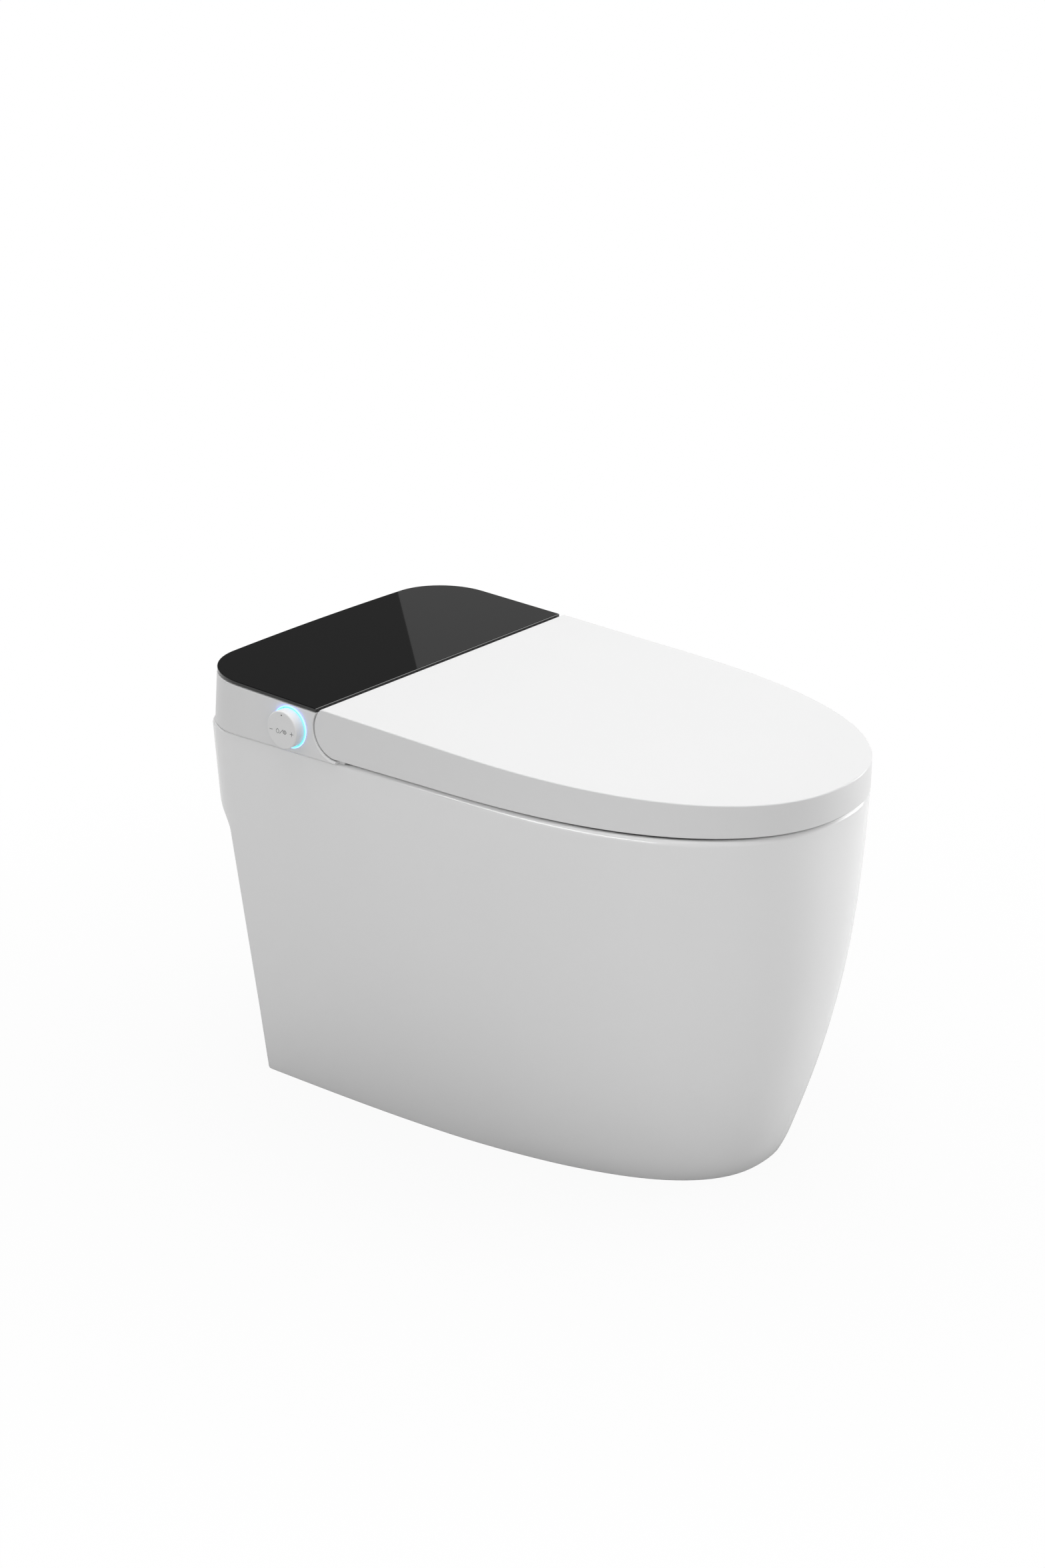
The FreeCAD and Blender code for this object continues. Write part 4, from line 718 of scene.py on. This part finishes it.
def varied(name, dark, light, roughness, tone, grain, lift=fineLift, coat=0.0, metal=0.0, mirror=0.5):
    material, nodes, links, shader = newFinish(name)
    patches = addNoise(nodes, links, tone)
    ramp = nodes.new("ShaderNodeValToRGB")
    ramp.color_ramp.elements[0].color = (*dark, 1)
    ramp.color_ramp.elements[1].color = (*light, 1)
    links.new(patches.outputs["Fac"], ramp.inputs["Fac"])
    links.new(ramp.outputs["Color"], shader.inputs["Base Color"])
    sheen = nodes.new("ShaderNodeMapRange")
    sheen.inputs["To Min"].default_value = roughness[0]
    sheen.inputs["To Max"].default_value = roughness[1]
    fine = addNoise(nodes, links, grain, fineDetail)
    links.new(fine.outputs["Fac"], sheen.inputs["Value"])
    links.new(sheen.outputs["Result"], shader.inputs["Roughness"])
    bump = nodes.new("ShaderNodeBump")
    bump.inputs["Strength"].default_value = 1.0
    bump.inputs["Distance"].default_value = lift
    links.new(fine.outputs["Fac"], bump.inputs["Height"])
    links.new(bump.outputs["Normal"], shader.inputs["Normal"])
    shader.inputs["Coat Weight"].default_value = coat
    shader.inputs["Coat Roughness"].default_value = coatRough
    shader.inputs["Metallic"].default_value = metal
    shader.inputs["Specular IOR Level"].default_value = mirror
    return material


glow = {  # cyan beside the knob, blue round the outside
    "core": (0.2, 0.92, 1.0), "halo": (0.10, 0.16, 1.0), "coreGlow": 1.0, "haloGlow": 6.0,
    "coreShare": 0.45, "bodyTone": (0.3, 0.4), "grain": 300,
}


def glowing(name):
    material, nodes, links, shader = newFinish(name)
    grain = addNoise(nodes, links, glow["grain"])
    ramp = nodes.new("ShaderNodeValToRGB")
    for stop, tone in zip(ramp.color_ramp.elements, glow["bodyTone"]):
        stop.color = (*(c * tone for c in glow["core"]), 1)
    links.new(grain.outputs["Fac"], ramp.inputs["Fac"])
    links.new(ramp.outputs["Color"], shader.inputs["Base Color"])
    coordinates = nodes.new("ShaderNodeTexCoord")
    axis = nodes.new("ShaderNodeVectorMath")  # distance from the knob's axis
    axis.operation = "SUBTRACT"
    axis.inputs[1].default_value = (0, knob["y"] * mm, knob["z"] * mm)
    links.new(coordinates.outputs["Object"], axis.inputs[0])
    flat = nodes.new("ShaderNodeVectorMath")
    flat.operation = "MULTIPLY"
    flat.inputs[1].default_value = (0, 1, 1)
    links.new(axis.outputs["Vector"], flat.inputs[0])
    reach = nodes.new("ShaderNodeVectorMath")
    reach.operation = "LENGTH"
    links.new(flat.outputs["Vector"], reach.inputs[0])
    out = nodes.new("ShaderNodeMapRange")
    out.inputs["From Min"].default_value = mix(knob["ringHole"], knob["ringRadius"], glow["coreShare"]) * mm
    out.inputs["From Max"].default_value = knob["ringRadius"] * mm
    links.new(reach.outputs["Value"], out.inputs["Value"])
    tint = nodes.new("ShaderNodeMix")
    tint.data_type = "RGBA"
    tint.inputs["A"].default_value = (*glow["core"], 1)
    tint.inputs["B"].default_value = (*glow["halo"], 1)
    links.new(out.outputs["Result"], tint.inputs["Factor"])
    links.new(tint.outputs["Result"], shader.inputs["Emission Color"])
    power = nodes.new("ShaderNodeMapRange")
    power.inputs["To Min"].default_value = glow["coreGlow"]
    power.inputs["To Max"].default_value = glow["haloGlow"]
    links.new(out.outputs["Result"], power.inputs["Value"])
    links.new(power.outputs["Result"], shader.inputs["Emission Strength"])
    return material


finishes = {
    "ceramic": varied("glazedCeramic", grey(0.83), grey(0.85), (0.15, 0.2), tone=6, grain=120),
    "white_gloss": varied("lidPlastic", grey(0.745), grey(0.765), (0.28, 0.34), tone=5, grain=300, mirror=0.25),
    "white_satin": varied("satinPlastic", grey(0.77), grey(0.79), (0.42, 0.5), tone=8, grain=400),
    "black_glass": varied("blackGlass", grey(0.004), grey(0.005), (0.012, 0.02), tone=4, grain=200, lift=0.0),
    "light_guide": glowing("lightGuide"),
    "grey_rubber": varied("greyRubber", grey(0.5), grey(0.56), (0.7, 0.8), tone=30, grain=500, lift=coarseLift),
    "acetal": varied("acetal", (0.72, 0.72, 0.70), (0.76, 0.76, 0.74), (0.4, 0.5), tone=30, grain=400),
    "steel": varied("brushedSteel", (0.58, 0.58, 0.59), (0.66, 0.66, 0.67), (0.25, 0.35),
                    tone=60, grain=600, metal=1),
    "white_nozzle": varied("nozzlePlastic", grey(0.78), grey(0.80), (0.2, 0.25), tone=20, grain=400, coat=0.3),
    "black_plastic": varied("blackPlastic", grey(0.02), grey(0.03), (0.5, 0.6),
                            tone=20, grain=500, lift=coarseLift),
    "motor_metal": varied("motorMetal", grey(0.5), grey(0.58), (0.3, 0.4), tone=40, grain=500, metal=1),
    "heater_case": varied("heaterCase", (0.6, 0.58, 0.52), (0.66, 0.64, 0.58), (0.5, 0.6),
                          tone=20, grain=400, lift=middleLift),
    "brass_fitting": varied("brass", (0.70, 0.52, 0.24), (0.78, 0.6, 0.3), (0.25, 0.35),
                            tone=40, grain=500, metal=1),
    "hose_silicone": varied("siliconeHose", (0.7, 0.7, 0.72), (0.76, 0.76, 0.78), (0.45, 0.55),
                            tone=20, grain=400),
    "circuit_green": varied("circuitBoard", (0.03, 0.16, 0.06), (0.05, 0.22, 0.09), (0.4, 0.5),
                            tone=60, grain=400),
    "markInk": varied("markInk", grey(0.03), grey(0.05), (0.5, 0.6), tone=200, grain=600, lift=0.0),
    "heating_film": varied("heatingFilm", (0.65, 0.65, 0.66), (0.75, 0.75, 0.76), (0.3, 0.4),
                           tone=40, grain=400, metal=1),
}

slotOfNode = {part["node"]: part["material_slot"] for part in frame["record"]["subparts"]}
for name, node in frame["nodes"].items():
    node.data.materials.clear()
    node.data.materials.append(finishes[slotOfNode[name]])
for piece in (ceramicBody, lidShell, rearHousing, glassTop, controlKnob, lightRing):
    piece.data.materials.clear()
    piece.data.materials.append(finishes[piece["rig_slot"]])
knobMarks.data.materials.append(finishes["markInk"])
print("finishes:", len(finishes))


# camera at the photograph's viewing angle

camera = {
    "place": (-2.2635, -1.8339, 1.4742), "ahead": (0.72335, 0.58647, -0.36443), "lens": 69.53, "film": 36.0,
}
eye = bpy.data.cameras.new("photoCamera")
eye.sensor_fit = "VERTICAL"
eye.sensor_height = camera["film"]
eye.lens = camera["lens"]
eyeObject = bpy.data.objects.new("photoCamera", eye)
eyeObject.location = camera["place"]
eyeObject.rotation_euler = Vector(camera["ahead"]).to_track_quat("-Z", "Y").to_euler()
bpy.context.scene.collection.objects.link(eyeObject)
bpy.context.scene.camera = eyeObject


# floor, lamps and world

studio = {
    "floorSize": 40.0, "floorThick": 20.0, "floorRough": 0.9,
    # painted shade: the floor's colour goes from dark at the foot to pale further out, over the reach given
    # next
    "paintedFloorShade": (0.38, 0.62), "paintedShadeReach": (0.2, 0.42),
    "shadowNear": 0.35, "shadowFar": 1.1, "whiteNear": 0.94, "mirrorNear": 0.1,
    "worldLight": 0.52, "backdrop": 0.6, "overhead": 0.1, "horizon": (0.12, 0.28),
}
lamps = {
    "top": {"place": (0.1, 0.1, 2.6), "aim": (0, -0.1, 0.3), "size": (2.4, 2.4), "power": 45.0,
            "mirrored": False},
    "right": {"place": (1.2, -0.9, 0.45), "aim": (0.1, -0.2, 0.2), "size": (0.6, 0.9), "power": 8.6},
    "left": {"place": (-1.38, -0.8, 0.95), "aim": (-0.19, -0.2, 0.3), "size": (1.2, 0.6), "power": 3.6,
             "mirrored": False},
    "rim": {"place": (-1.8, 0.2, 1.08), "aim": (-0.19, -0.05, 0.39), "size": (2.0, 0.35), "power": 26.0,
            "lights": False, "only": ceramicBody},  # line of light along the rim
    "panel": {"place": (3.403, 1.679, 2.134), "aim": (0.470, -0.452, 0.444), "size": (1.8, 1.8), "roll": 18.8,
              "power": 2.1},  # its edge crosses the glass
}


def addLamp(name, spec):
    data = bpy.data.lights.new(name, "AREA")
    data.shape = "RECTANGLE"
    data.size, data.size_y = spec["size"]
    data.energy = spec["power"]
    lamp = bpy.data.objects.new(name, data)
    lamp.location = spec["place"]
    turn = (Vector(spec["aim"]) - Vector(spec["place"])).to_track_quat("-Z", "Y")
    lamp.rotation_euler = (turn @ Quaternion((0, 0, 1), math.radians(spec.get("roll", 0)))).to_euler()
    lamp.visible_glossy = spec.get("mirrored", True)
    lamp.visible_diffuse = spec.get("lights", True)
    if "only" in spec:
        lit = bpy.data.collections.new(name)
        lit.objects.link(spec["only"])
        lamp.light_linking.receiver_collection = lit
    bpy.context.scene.collection.objects.link(lamp)


def larger(nodes, links, first, second):
    node = nodes.new("ShaderNodeMath")
    node.operation = "MAXIMUM"
    links.new(first, node.inputs[0])
    links.new(second, node.inputs[1])
    return node.outputs["Value"]


def makeFloor():
    half = studio["floorSize"] / 2 / mm
    floor = boxMesh("floor", (-half, -half, -studio["floorThick"]), (half, half, 0.0))
    material, nodes, links, shader = newFinish("paleFloor")
    shader.inputs["Roughness"].default_value = studio["floorRough"]
    shader.inputs["Specular IOR Level"].default_value = 0.0
    coordinates = nodes.new("ShaderNodeTexCoord")  # white further out, shadow kept near the foot
    reach = nodes.new("ShaderNodeVectorMath")
    reach.operation = "LENGTH"
    links.new(coordinates.outputs["Object"], reach.inputs[0])
    tone = nodes.new("ShaderNodeMapRange")  # painted shade: the floor's colour is darker close to the foot, so it bounces less light onto the lower body
    tone.inputs["From Min"].default_value, tone.inputs["From Max"].default_value = studio["paintedShadeReach"]
    tone.inputs["To Min"].default_value, tone.inputs["To Max"].default_value = studio["paintedFloorShade"]
    links.new(reach.outputs["Value"], tone.inputs["Value"])
    links.new(tone.outputs["Result"], shader.inputs["Base Color"])
    path = nodes.new("ShaderNodeLightPath").outputs
    seen = larger(nodes, links, path["Is Camera Ray"], path["Is Transmission Ray"])
    near = nodes.new("ShaderNodeMapRange")  # mirrored, the floor keeps more of its real shadow and of the painted shade near the foot
    near.inputs["To Min"].default_value = studio["mirrorNear"]
    near.inputs["To Max"].default_value = studio["whiteNear"]
    links.new(seen, near.inputs["Value"])
    fade = nodes.new("ShaderNodeMapRange")
    fade.interpolation_type = "SMOOTHSTEP"
    fade.inputs["From Min"].default_value = studio["shadowNear"]
    fade.inputs["From Max"].default_value = studio["shadowFar"]
    fade.inputs["To Max"].default_value = 1.0
    links.new(near.outputs["Result"], fade.inputs["To Min"])
    links.new(reach.outputs["Value"], fade.inputs["Value"])
    share = nodes.new("ShaderNodeMath")
    share.operation = "MULTIPLY"
    links.new(fade.outputs["Result"], share.inputs[0])
    links.new(larger(nodes, links, seen, path["Is Glossy Ray"]), share.inputs[1])
    white = nodes.new("ShaderNodeEmission")
    white.inputs["Color"].default_value = (1, 1, 1, 1)
    white.inputs["Strength"].default_value = 1.0
    both = nodes.new("ShaderNodeMixShader")
    links.new(share.outputs["Value"], both.inputs["Fac"])
    links.new(shader.outputs["BSDF"], both.inputs[1])
    links.new(white.outputs["Emission"], both.inputs[2])
    links.new(both.outputs["Shader"], nodes["Material Output"].inputs["Surface"])
    floor.data.materials.append(material)


def makeWorld():
    world = bpy.data.worlds.new("studio")
    world.use_nodes = True
    bpy.context.scene.world = world
    nodes, links = world.node_tree.nodes, world.node_tree.links
    soft = nodes["Background"]
    soft.inputs["Color"].default_value = (1, 1, 1, 1)
    soft.inputs["Strength"].default_value = studio["worldLight"]
    coordinates = nodes.new("ShaderNodeTexCoord")
    parts = nodes.new("ShaderNodeSeparateXYZ")
    links.new(coordinates.outputs["Generated"], parts.inputs["Vector"])
    climb = nodes.new("ShaderNodeMapRange")  # mirrors show a white backdrop under a dim ceiling
    climb.interpolation_type = "SMOOTHSTEP"
    climb.inputs["From Min"].default_value, climb.inputs["From Max"].default_value = studio["horizon"]
    climb.inputs["To Min"].default_value = studio["backdrop"]
    climb.inputs["To Max"].default_value = studio["overhead"]
    links.new(parts.outputs["Z"], climb.inputs["Value"])
    path = nodes.new("ShaderNodeLightPath").outputs
    seen = larger(nodes, links, path["Is Camera Ray"], path["Is Transmission Ray"])
    white = nodes.new("ShaderNodeBackground")
    white.inputs["Color"].default_value = (1, 1, 1, 1)
    links.new(larger(nodes, links, seen, climb.outputs["Result"]), white.inputs["Strength"])
    both = nodes.new("ShaderNodeMixShader")
    links.new(larger(nodes, links, seen, path["Is Glossy Ray"]), both.inputs["Fac"])
    links.new(soft.outputs["Background"], both.inputs[1])
    links.new(white.outputs["Background"], both.inputs[2])
    links.new(both.outputs["Shader"], nodes["World Output"].inputs["Surface"])


makeFloor()
makeWorld()
for lampName, lampSpec in lamps.items():
    addLamp(lampName, lampSpec)
bpy.context.scene.view_settings.view_transform = "Standard"
print("stage ready")
